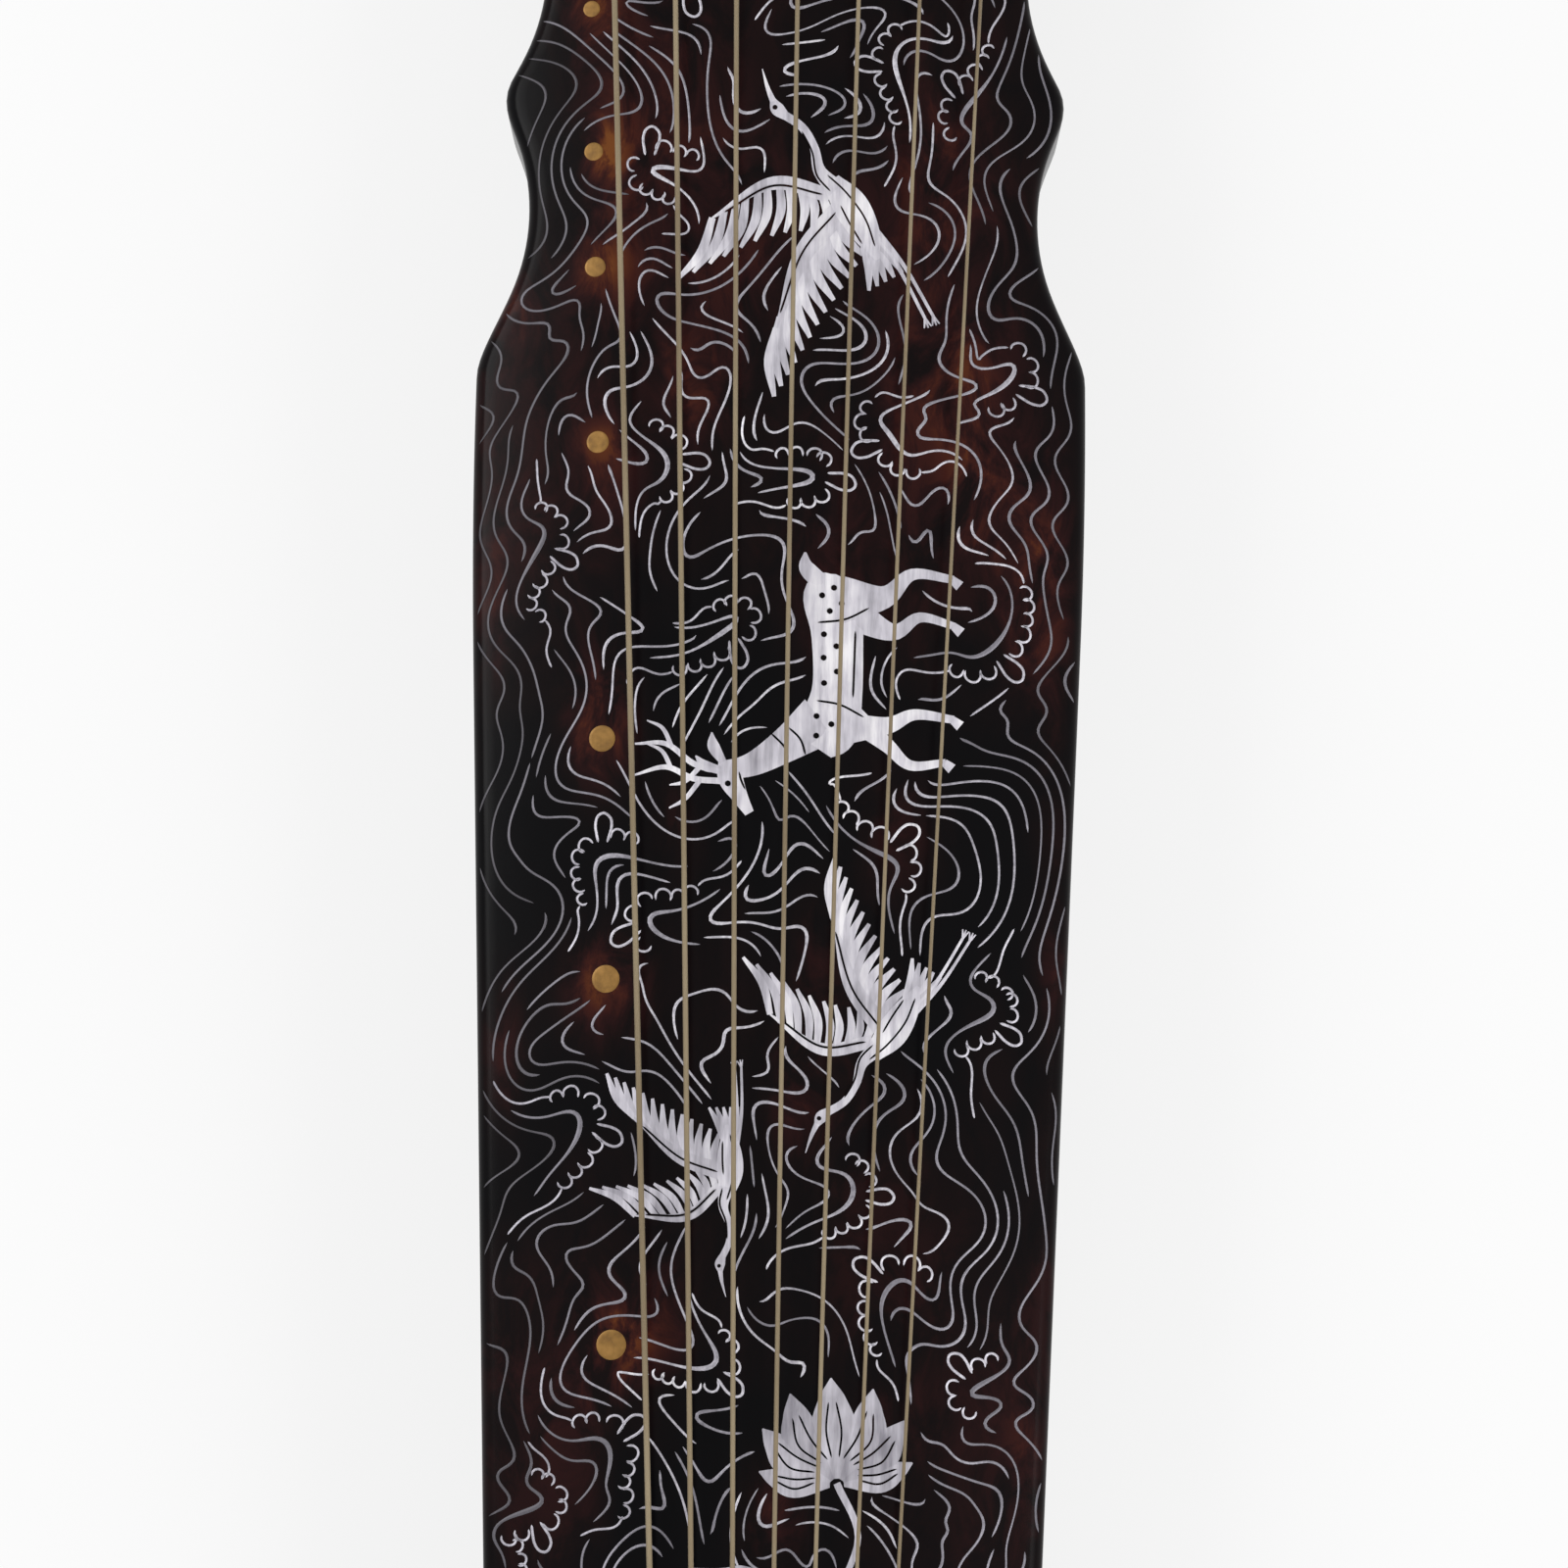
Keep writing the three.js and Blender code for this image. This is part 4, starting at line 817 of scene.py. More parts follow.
def silver_finish(name, grain_scale, stretch, bright):
    """Silver in lacquer: a leaf's or stroke's tone, with painted shade towards the rims for the lines and
    scrolls, rubbed thin in fine streaks and cloudier in broad patches, from dull grey to a bright lilac
    white."""
    made, tree, shader = new_material(name, Metallic=0.3, Specular_IOR_Level=0.3)
    tone = node(tree, "Attribute", {}, attribute_name="tone").outputs["Fac"]
    worn = object_noise(tree, grain_scale, stretch, detail=4, roughness=0.62)
    patchy = object_noise(tree, 60, detail=3)
    fine = remap(tree, worn, (0.28, 0.62), (0.66, 1.04))
    broad = remap(tree, patchy, (0.3, 0.65), (0.74, 1.08))
    shown = math_of(tree, "MULTIPLY", tone, math_of(tree, "MULTIPLY", fine, broad))
    colour = ramp(tree, shown, [
        (0.0, (0.048, 0.044, 0.050)), (0.4, (0.24 * bright, 0.228 * bright, 0.262 * bright)),
        (0.72, (0.55 * bright, 0.53 * bright, 0.585 * bright)), (1.0, (0.86, 0.84, 0.87)),
    ])
    tree.links.new(colour, shader.inputs["Base Color"])
    tree.links.new(remap(tree, worn, (0, 1), (0.34, 0.6)), shader.inputs["Roughness"])
    bump(tree, shader, worn, 0.00004, 0.7)
    return made


silver_leaf = silver_finish("silver_leaf", 420, (1, 0.12, 1), 1.08)
drawn = Sheet()
stud_reach, motif_margin = 0.0075, 0.0022
drawn.stamp(np.stack([hui_x, hui_u], 1), stud_reach)
first_lift, leaf_step = 0.00010, 0.000008
engraving_width, engraving_lift = 0.0008, 0.00016
# Kind, x, place along the board, heading of the drawing's own x in degrees, size, mirrored, tone
for number, (kind, x, u, heading, size, mirrored, tone) in enumerate([
    (crane, 0.030, 0.060, 60, 0.90, False, 0.86), (crane, 0.022, 0.206, 250, 1.06, True, 0.96),
    (deer, 0.020, 0.350, 90, 1.22, False, 0.95), (crane, 0.038, 0.462, 112, 0.92, False, 0.94),
    (crane, -0.012, 0.505, 78, 0.78, False, 0.80), (lotus, 0.022, 0.598, 176, 1.38, False, 0.72),
    (deer, 0.004, 0.722, 268, 1.0, True, 0.80), (crane, 0.016, 0.846, 96, 0.88, False, 0.88),
    (lotus, 0.018, 0.955, 2, 0.95, True, 0.84), (crane, 0.002, 1.046, 262, 0.70, True, 0.90),
]):
    leaves, lines, dots = kind()
    c, s = math.cos(math.radians(heading)), math.sin(math.radians(heading))
    turn = np.array([[c, s], [s, -c]] if mirrored else [[c, s], [-s, c]]) * size / 1000
    place = np.array([x, u])
    shapes = []
    for order, (spine, half) in enumerate(leaves):
        laid = spine @ turn + place
        shapes.append(laid_leaf(laid, half * size / 1000, first_lift + leaf_step * order))
        drawn.stamp(laid[::2], float(half.mean()) * size / 1000 + motif_margin)
    tones = tone * (0.92 + 0.08 * np.cos(2.4 * np.arange(len(leaves))))
    add_drawn(f"silver_{kind.__name__}_{number + 1}", shapes, tones, silver_leaf)
    over = engraving_lift + leaf_step * len(leaves)
    engraved = []
    for line in lines:
        width = np.full(len(line), engraving_width)
        engraved.append(laid_stroke(line @ turn + place, width, step=0.0008, tip=0.002, lift=over))
    for spot in dots:
        spine, half = dot(*spot)
        engraved.append(laid_leaf(spine @ turn + place, half * size / 1000, over))
    add_drawn(f"engraving_{number + 1}", engraved, np.zeros(len(engraved)), lacquer)


# Silver lines
# Silver brushwork, thick enough to feel: long winding lines flow from head to tail, and where one
# folds sharply a cloud scroll is built on the outside of the fold, with a finger and rows of scallops.
def swirled(path, centres, reaches, angles):
    """Turns the plane about each centre by its angle, which fades as exp(-(distance / reach)^2)."""
    for centre, reach, angle in zip(centres, reaches, angles):
        off = path - centre
        turn = angle * np.exp(-(off**2).sum(1) / reach**2)
        c, s = np.cos(turn), np.sin(turn)
        path = centre + np.stack([c * off[:, 0] - s * off[:, 1], s * off[:, 0] + c * off[:, 1]], 1)
    return path


lane_count, lane_spread, lane_step = 45, 0.13, 0.0008
row_pitch, column_pitch = 0.034, 0.040
waver_length, least_waver, added_waver = 0.034, 0.0006, 0.0020


def board_lanes(rng):
    """Lanes along the board that waver in step, by sin(2 pi (u / length + 0.8 sin(21 u)) + 45 lane), are
    swirled about a staggered field of centres, smoothed over 10 mm and put at even steps."""
    centres, reaches, angles = [], [], []
    for row, u in enumerate(np.arange(-0.055, 1.15, row_pitch)):
        for column, x in enumerate(np.arange(-0.074 + column_pitch / 2 * (row % 2), 0.085, column_pitch)):
            centres.append((x + rng.uniform(-0.006, 0.006), u + rng.uniform(-0.008, 0.008)))
            reaches.append(rng.uniform(0.016, 0.023))
            sign = (1 if (row + column) % 2 else -1) * (-1 if rng.random() < 0.25 else 1)
            angles.append(sign * rng.uniform(1.3, 2.4) * (1 - 0.42 * ease((abs(x) - 0.045) / 0.035)))
    order = rng.permutation(len(centres))
    field = np.array(centres)[order], np.array(reaches)[order], np.array(angles)[order]
    u = np.arange(-0.12, 1.19, 0.0006)
    blur = np.hanning(15)[1:-1] / np.hanning(15).sum()
    lanes = []
    for lane in rng.permutation(np.linspace(-lane_spread, lane_spread, lane_count)):
        waver = np.sin(2 * np.pi * (u / waver_length + 0.8 * np.sin(21 * u)) + 45 * lane)
        wavy = lane + waver * (least_waver + added_waver * ease((abs(lane) - 0.035) / 0.04))
        path = resampled(swirled(np.stack([wavy, u], 1), *field), lane_step)
        smooth = np.stack([np.convolve(column, blur, "valid") for column in path.T], 1)
        lanes.append(resampled(smooth, lane_step))
    return lanes


fold_reach, fold_turn = 0.010, 1.4


def folds(lane):
    """Places where a lane turns by more than a fold's turn, in radians, over twice its reach: index and
    turn, sharpest first."""
    heading = np.unwrap(np.arctan2(*np.gradient(lane, axis=0).T[::-1]))
    reach = int(fold_reach / lane_step)
    turn = np.zeros(len(lane))
    turn[reach:-reach] = heading[2 * reach:] - heading[:-2 * reach]
    found = []
    while np.abs(turn).max() > fold_turn:
        k = int(np.argmax(np.abs(turn)))
        found.append((k, turn[k]))
        turn[max(k - 3 * reach, 0):k + 3 * reach] = 0
    return found


scallop = curve([
    (0.0, 0.1), (0.3, 1.5), (1.3, 2.4), (2.6, 2.3), (3.6, 1.4), (3.9, 0.2), (3.4, -0.8),
], 24) / 1000
finger = curve([
    (-1.2, -0.6), (-1.6, 1.0), (-2.1, 3.4), (-1.8, 5.6), (0.0, 7.0),
    (1.7, 6.0), (2.1, 3.6), (1.6, 1.2), (1.1, -0.7),
], 40) / 1000
finger_start, scallop_pitch = 0.0021, 0.0039
finger_width, scallop_width, taper_width = 0.00094, 0.00082, 0.0008
scallop_fall, taper_gap, taper_wave = 0.0003, 0.0016, 0.0010
fold_window, body_length, body_fade = 80, 0.014, 0.010


def cloud_scroll(rng, lane, k, turn):
    """Strokes round the outside of a lane's fold at k, the points that they fill, and the lane near the
    fold. A line is offset from the lane by 4.2 to 5.4 mm. A finger stands on it at the fold, and hooked
    scallops follow it at even steps to both sides while it stays clear of the lane, then it falls back
    in a wavy taper."""
    lift = rng.uniform(0.0042, 0.0054)
    size = rng.uniform(1.10, 1.32)
    window = np.arange(max(k - fold_window, 1), min(k + fold_window, len(lane) - 1))
    near = lane[window]
    out = across(near) * -np.sign(turn)
    along = np.gradient(near, axis=0)
    along /= np.linalg.norm(along, axis=1)[:, None]
    middle = int(np.flatnonzero(window == k)[0])
    outer = near + out * lift
    way = lengths(outer)
    way -= way[middle]
    lean = rng.uniform(-0.5, 0.5)
    arm = math.cos(lean) * along[middle] + math.sin(lean) * out[middle]
    up = -math.sin(lean) * along[middle] + math.cos(lean) * out[middle]
    strokes = [(outer[middle] + finger[:, :1] * arm * size + finger[:, 1:] * up * size, finger_width)]
    for side in (-1, 1):
        count = rng.integers(3, 6)
        start = finger_start * size
        for n in range(count):
            i = int(np.argmin(np.abs(way - side * start)))
            if np.linalg.norm(near - outer[i], axis=1).min() < 0.9 * lift:
                break
            small = size * rng.uniform(0.9, 1.08) * (1 - 0.04 * n)
            hook = scallop[:, :1] * side * along[i] + scallop[:, 1:] * out[i]
            strokes.append((outer[i] - out[i] * scallop_fall * n + hook * small, scallop_width))
            start += scallop_pitch * small
        stretch = np.flatnonzero((side * way > start) & (side * way < start + rng.uniform(0.012, 0.022)))
        if len(stretch) > 6:
            stretch = stretch[::side]
            share = np.linspace(0, 1, len(stretch))
            off = (lift - scallop_fall * count) * (1 - ease(share)) + taper_gap * (1 - 0.3 * share)
            off = off + taper_wave * (1 - share) * np.sin(7 * share)
            taper = near[stretch] + out[stretch] * off[:, None]
            clear = np.linalg.norm(taper[:, None] - near, axis=2).min(axis=1) > 0.8 * off
            run = len(taper) if clear.all() else int(np.argmin(clear))
            if run > 6:
                strokes.append((taper[:run], taper_width))
    fade = 1 - ease((np.abs(window - k) * lane_step - body_length) / body_fade)
    body = [near + out * (share * lift * fade)[:, None] for share in np.linspace(0, 1, 4)]
    return strokes, np.concatenate([line for line, _ in strokes] + body), near


rng = np.random.default_rng(7)
lanes = board_lanes(rng)
# The bridge with its plate, the nut and the tail crowns cover these parts of the face: x and u from, to
cover_margin = 0.0012
for low_x, high_x, low_u, high_u in [
    (-0.076, 0.076, -0.036, 0.001), (-0.026, 0.026, 1.117, 1.143), (-0.066, 0.066, 1.082, 1.143),
]:
    covered_x, covered_u = np.meshgrid(np.arange(low_x, high_x, square), np.arange(low_u, high_u, square))
    drawn.stamp(np.stack([covered_x.ravel(), covered_u.ravel()], 1), cover_margin)
claimed, filled = Sheet(drawn.used), Sheet(drawn.used)
candidates = [(n, k, turn) for n, lane in enumerate(lanes) for k, turn in folds(lane)]
scroll_strokes, scroll_tones, thickened = [], [], {}
scroll_lift, line_lift = 0.00014, 0.00012
scroll_margin, scrolls_start, scrolls_end = 0.003, -0.066, 1.130
claim_reach, fill_reach, core_half = 0.0032, 0.0021, 28
for choice in rng.permutation(len(candidates)):
    n, k, turn = candidates[choice]
    strokes, covered, spine = cloud_scroll(rng, lanes[n], k, turn)
    reached = np.concatenate([line for line, _ in strokes])
    inside = np.abs(reached[:, 0]) < outline_half(reached[:, 1]) - scroll_margin
    inside &= (reached[:, 1] > scrolls_start) & (reached[:, 1] <= scrolls_end)
    core = spine[len(spine) // 2 - core_half:len(spine) // 2 + core_half]
    if not inside.all() or claimed.taken(reached).any() or claimed.taken(core).any():
        continue
    inward = float(np.mean(outline_half(reached[:, 1]) - np.abs(reached[:, 0])))
    # The tone falls towards the rims: painted shade where the arch turns from the light.
    tone = rng.uniform(0.64, 0.94) * (0.55 + 0.45 * ease(inward / 0.040))
    for line, width in strokes:
        width = np.full(len(line), width)
        scroll_strokes.append(laid_stroke(line, width, step=0.0005, tip=0.0012, lift=scroll_lift))
        scroll_tones.append(tone)
    claimed.stamp(covered[::3], claim_reach)
    filled.stamp(covered[::2], fill_reach)
    thickened.setdefault(n, []).append(k)
silver_scrolls = silver_finish("silver_scrolls", 700, (1, 1, 1), 1.0)
add_drawn("cloud_scrolls", scroll_strokes, np.array(scroll_tones), silver_scrolls)

# Lanes that carry a scroll are drawn first, and thicken there. The others keep clear of them. A line
# is broader where it bends, as a brush presses there. Its tone is darker towards the rims, most on the
# stud side: painted shade where the arch turns from the light.
spacing = Sheet()
line_widths, stroke_lengths, pauses = (0.00062, 0.00084), (0.10, 0.30), (0.003, 0.006)
folded_width, folded_thinning, folded_length, folded_reach = 0.0017, 0.0009, 0.013, 0.026
side_margin, tail_margin, lines_start, line_gap, shortest_line = 0.0016, 0.002, -0.0735, 0.0026, 0.013
flow_shapes, flow_tones, flow_places = [], [], []
for n in sorted(range(len(lanes)), key=lambda n: n not in thickened):
    path = lanes[n]
    heading = np.unwrap(np.arctan2(*np.gradient(path, axis=0).T[::-1]))
    bend = np.convolve(np.abs(np.gradient(heading)) / lane_step, np.ones(9) / 9, "same")
    width = rng.uniform(*line_widths) * (0.9 + 0.5 * np.clip(bend * 0.006, 0, 1))
    own = np.zeros(len(path), bool)
    for k in thickened.get(n, []):
        way = np.abs(np.arange(len(path)) - k) * lane_step
        width = np.maximum(width, folded_width - folded_thinning * ease(way / folded_length))
        own |= way < folded_reach
    keep = np.abs(path[:, 0]) < outline_half(path[:, 1]) - side_margin
    keep &= (path[:, 1] < board_end - tail_margin) & (path[:, 1] > lines_start)
    keep &= ~drawn.taken(path) & ~spacing.taken(path) & (own | ~filled.taken(path))
    way = 0.0
    while way < len(path) * lane_step:
        way += rng.uniform(*stroke_lengths)
        pause = slice(int(way / lane_step), int((way + rng.uniform(*pauses)) / lane_step))
        keep[pause] &= own[pause]
    ends = np.flatnonzero(np.diff(np.concatenate([[0], keep.astype(int), [0]])))
    for start, stop in zip(ends[::2], ends[1::2]):
        if (stop - start) * lane_step > shortest_line:
            line = path[start:stop]
            spacing.stamp(line[::3], line_gap)
            inward = float(np.mean(outline_half(line[:, 1]) - np.abs(line[:, 0])))
            # The tone falls towards the rims, lowest on the stud side: painted shade where the arch turns
            # from the light.
            rim_shade_floor, reach = (0.06, 0.056) if line[:, 0].mean() < 0 else (0.36, 0.040)
            stroke = laid_stroke(line, width[start:stop], step=0.0012, tip=0.003, lift=line_lift)
            flow_shapes.append(stroke)
            flow_tones.append(rng.uniform(0.42, 0.84) * (rim_shade_floor + (1 - rim_shade_floor) * ease(inward / reach)))
            flow_places.append(float(line[:, 1].mean()))
silver_lines = silver_finish("silver_lines", 650, (1, 1, 1), 0.95)
for name, near_head in (("flowing_lines_head", True), ("flowing_lines_tail", False)):
    chosen = [i for i, place in enumerate(flow_places) if (place < 0.5) == near_head]
    add_drawn(name, [flow_shapes[i] for i in chosen], np.array(flow_tones)[chosen], silver_lines)


# Bridge
# The yueshan, one rosewood rail let into the head. The strings cross its rounded front edge, its back
# leans away to the plate, and its ends fall to the board.
bridge_width, bridge_height, bridge_crown = 0.150, 0.099, 0.003
bridge_end_fall, bridge_end_length = 0.011, 0.008


def bridge_top(x):
    """Height of the rail: its height at the middle, less its crown times (2x / width)^2, less an eased
    fall at its ends."""
    end = 1 - ease((bridge_width / 2 - np.abs(x)) / bridge_end_length)
    return bridge_height - bridge_crown * (2 * x / bridge_width) ** 2 - bridge_end_fall * end


def quarter_arc(middle, radius, start, steps=6):
    """Points (y, z) of a quarter circle, clockwise from a start angle."""
    angle = start - np.linspace(0, np.pi / 2, steps + 1)
    return np.stack([middle[0] + radius * np.cos(angle), middle[1] + radius * np.sin(angle)], 1)


def soften(piece, width, segments=3, angle=35):
    """Rounds a piece's sharp edges, as sandpaper does."""
    edge = piece.modifiers.new("eased_edges", "BEVEL")
    edge.width, edge.segments, edge.limit_method = width, segments, "ANGLE"
    edge.angle_limit = math.radians(angle)


rosewood_across = rosewood_finish("rosewood_across_board", "X")
bridge_round, bridge_top_length, bridge_length = 0.001625, 0.0065, 0.010
bridge_let_in, lean_length, lean_fall, back_fall = 0.0025, 0.0083, 0.0054, 0.009
rail_end = np.linspace(0.066, bridge_width / 2, 10)
rail_x = np.concatenate([-rail_end[::-1], np.linspace(-0.064, 0.064, 40), rail_end])
top = bridge_top(rail_x)[:, None]
foot_of_rail = arch_height(rail_x, 0)[:, None] - bridge_let_in
front_arc = quarter_arc((bridge_y + bridge_round, -bridge_round), bridge_round, np.pi)
back_middle = bridge_y + bridge_top_length - bridge_round
back_arc = quarter_arc((back_middle, -bridge_round), bridge_round, np.pi / 2)
back_y = [bridge_y + lean_length, bridge_y + bridge_length, bridge_y + bridge_length]
rail_y = np.concatenate([[bridge_y], front_arc[:, 0], back_arc[:, 0], back_y])
rail_z = np.concatenate([
    foot_of_rail, top + front_arc[:, 1], top + back_arc[:, 1], top - lean_fall, top - back_fall, foot_of_rail,
], 1)
bridge = add_mesh("bridge_rail", *skin(np.stack(np.broadcast_arrays(rail_x[:, None], rail_y, rail_z), -1)))
soften(bridge, 0.0004)
finish_piece(bridge, rosewood_across, "hardwood", "bridge")


# String-hole plate
# The chenglu, a thin rosewood strip let into the head behind the bridge, with a round hole for each
# silk loop.
plate_proud, plate_thickness, plate_length, plate_gap = 0.0008, 0.0032, 0.024, 0.0003
plate_front = bridge_y + bridge_length + plate_gap
plate_back = plate_front + plate_length
plate_hole_radius = 0.0025
plate_x = np.linspace(-bridge_width / 2, bridge_width / 2, 61)
plate_top = arch_height(plate_x, 0)[:, None] + plate_proud
plate_bottom = plate_top - plate_thickness
plate_rings = np.stack(np.broadcast_arrays(
    plate_x[:, None],
    [plate_front, plate_front, plate_back, plate_back],
    np.concatenate([plate_bottom, plate_top, plate_top, plate_bottom], 1),
), -1)
plate = add_mesh("string_hole_plate_strip", *skin(plate_rings))
for x in bridge_xs:
    carve(plate, *prism(circle * plate_hole_radius, (x, peg_row_y), seam + 0.013, crest + 0.006))
soften(plate, 0.0003, 2)
finish_piece(plate, rosewood_across, "hardwood", "string_hole_plate")


# Nut and lower nut
# Two rosewood blocks on the tail. The strings run over the nut's rounded end, down the end of the
# board, and round the lower nut to the feet.
def block_across(name, profile, half):
    """A profile of (y, z) points carried across the board from -half to half."""
    x = np.linspace(-half, half, 13)[:, None]
    profile = np.asarray(profile)
    return add_mesh(name, *skin(np.stack(np.broadcast_arrays(x, profile[:, 0], profile[:, 1]), -1)))


tail_overhang, nut_half_width = 0.002, 0.023
nut_y, nut_end = bridge_y - string_length, bridge_y - board_end - tail_overhang
nut_top, nut_height, nut_round = 0.08729, 0.011, 0.008
nut_bottom = nut_top - nut_height
lower_nut_length, lower_nut_height, lower_nut_round, lower_nut_proud = 0.020, 0.010, 0.006, 0.002
lower_nut_front, lower_nut_bottom = nut_end + lower_nut_length, underside - lower_nut_proud
lower_nut_top = lower_nut_bottom + lower_nut_height
nut_profile = np.concatenate([
    [(nut_end, nut_bottom)],
    quarter_arc((nut_end + nut_round, nut_top - nut_round), nut_round, np.pi, 12),
    [(nut_y, nut_top), (nut_y, nut_bottom)],
])
nut = block_across("nut_block", nut_profile, nut_half_width)
soften(nut, 0.0005)
finish_piece(nut, rosewood_across, "hardwood", "nut")
lower_middle = (nut_end + lower_nut_round, lower_nut_bottom + lower_nut_round)
lower_profile = np.concatenate([
    [(lower_nut_front, lower_nut_top), (lower_nut_front, lower_nut_bottom)],
    quarter_arc(lower_middle, lower_nut_round, -np.pi / 2, 10),
    [(nut_end, lower_nut_top)],
])
lower_nut = block_across("lower_nut_block", lower_profile, nut_half_width)
soften(lower_nut, 0.0005)
finish_piece(lower_nut, rosewood_across, "hardwood", "lower_nut")


# Tail crowns
# Thin rosewood plates let into the two corners of the tail, with a swept inner end, shaped with the
# board's arch.
crown_middle, crown_inset = board_end - 0.029, 0.0006
crown_inner_x = 0.0236
crown_outer_x = float(outline_half(np.array([crown_middle]))[0]) - top_edge - crown_inset
crown_inner_length, crown_outer_length = 0.027, 0.058
crown_proud, crown_depth, crown_edge, crown_corner, crown_gap = 0.0015, 0.002, 0.0006, 0.008, 0.0003
for node_name, side in (("tail_crown_left", -1), ("tail_crown_right", 1)):
    share = np.linspace(0, 1, 25)[:, None]
    x = crown_inner_x + (crown_outer_x - crown_inner_x) * share
    reach = crown_inner_length + (crown_outer_length - crown_inner_length) * ease(share)
    inside = np.maximum(crown_corner - (crown_outer_x - x), 0)
    corner = crown_corner - np.sqrt(np.maximum(crown_corner**2 - inside**2, 0))
    front, end = board_end - reach, board_end - crown_gap - corner
    u = front + (end - front) * np.linspace(0, 1, 31)[None]
    to_side = np.minimum(share, 1 - share) * (crown_outer_x - crown_inner_x)
    to_rim = np.minimum(to_side, np.minimum(u - front, end - u))
    within = np.maximum(crown_edge - to_rim, 0)
    rounding = crown_edge - np.sqrt(np.maximum(crown_edge**2 - within**2, 0))
    x = np.broadcast_to(x, u.shape)
    level = arch_height(x, u)
    top = np.stack([side * x, bridge_y - u, level + crown_proud - rounding], -1)
    bottom = np.stack([side * x, bridge_y - u, level - crown_depth], -1)
    crown = add_mesh(node_name + "_plate", *slab(top, bottom))
    finish_piece(crown, rosewood_along, "hardwood", node_name)


# Peg pool plate
# A rosewood plate glued into the head from below, with a hole above each peg. The pegs bear on it.
pool_plate_low, pool_plate_high, pool_plate_gap = 0.050, 0.053, 0.0003
pool_plate_outline = rounded_outline(
    peg_pool_width - 2 * pool_plate_gap, peg_pool_length - 2 * pool_plate_gap, 0.0004, 2,
)
pool_plate = add_mesh(
    "peg_pool_plate_board", *prism(pool_plate_outline, (0, peg_row_y), pool_plate_low, pool_plate_high),
)
for x in bridge_xs:
    hole = prism(circle * plate_hole_radius, (x, peg_row_y), pool_plate_low - 0.005, pool_plate_high + 0.005)
    carve(pool_plate, *hole)
soften(pool_plate, 0.0003, 2)
finish_piece(pool_plate, rosewood_across, "hardwood", "peg_pool_plate")


# Peg protectors
# Two rosewood fins fixed under the head beside the pegs, with softened soles. They keep the pegs off
# the table and carry the head.
protector_x, protector_width, protector_corner = 0.0813, 0.012, 0.004
protector_sole_length, protector_growth = 0.024, 0.008
rosewood_upright = rosewood_finish("rosewood_upright", "Z")
for node_name, side in (("peg_protector_left", -1), ("peg_protector_right", 1)):
    height = np.concatenate([[0, 0.0001, 0.0004, 0.0010, 0.0018], np.linspace(0.0028, underside, 24)])
    share = height / underside
    length = protector_sole_length + protector_growth * ease(share)
    narrow = 1 - 0.14 * (1 - np.sqrt(1 - (1 - np.clip(share / 0.08, 0, 1)) ** 2))
    rings = []
    for z, long, scale in zip(height, length, narrow):
        ring = rounded_outline(protector_width * scale, long * scale, protector_corner * scale, 6)
        ring += np.array([side * protector_x, peg_row_y])
        rings.append(np.column_stack([ring, np.full(len(ring), z)]))
    protector = add_mesh(node_name + "_fin", *skin(rings))
    finish_piece(protector, rosewood_upright, "hardwood", node_name)


# Goose feet
# Turned rosewood feet, each with a broad rounded pad, a cove and a straight neck that the strings are
# wound on. A square tenon holds each in its socket.
foot_x, foot_y = 0.04337, -0.2540
neck_radius, tenon_width, tenon_low, tenon_high = 0.010, 0.014, 0.0345, 0.065
# Profiles of (radius, height), from the sole up
pad = [(0.0, 0.0), (0.0120, 0.0), (0.01385, 0.0004)]
pad += [(0.0135 + 0.0015 * math.sin(a), 0.00215 - 0.00175 * math.cos(a)) for a in np.linspace(0.3, 1.45, 6)]
pad += [(0.015, 0.0036), (0.0148, 0.0046)]
cove_turn = np.linspace(0, np.pi / 2, 9)
cove = [(neck_radius + 0.0046 * (1 - math.sin(a)), 0.0056 + 0.0039 * (1 - math.cos(a))) for a in cove_turn]
neck = [(neck_radius, 0.0120), (neck_radius, 0.0220), (neck_radius, underside), (0.0, underside)]
for node_name, x in (("goose_foot_left", -foot_x), ("goose_foot_right", foot_x)):
    turning = turned(pad + cove + neck, 64, (x, foot_y))
    tenon = prism(rounded_outline(tenon_width, tenon_width, 0.0008, 3), (x, foot_y), tenon_low, tenon_high)
    foot = add_mesh(node_name + "_turning", *gathered([turning, tenon]))
    finish_piece(foot, rosewood_upright, "hardwood", node_name)


# Pegs
# Seven turned rosewood pegs that hang in the pool and turn on their flat heads: a collar, a grooved
# neck, and a fluted handle that tapers to its foot. Each is bored for its silk loop.
peg_radius, peg_top, peg_length = 0.0075, 0.0497, 0.0465
bore_radius, bore_depth = 0.0022, 0.012
flutes, flute_depth = 8, 0.09
# Shares of the radius and of the length down from the head
neck_share = 0.66
peg_shares = np.array([
    (1.0, 0.0), (1.0, 0.07), (neck_share, 0.11), (neck_share, 0.24),
    (0.95, 0.31), (0.86, 0.6), (0.72, 0.9), (0.5, 0.985), (0.0, 1.0),
])


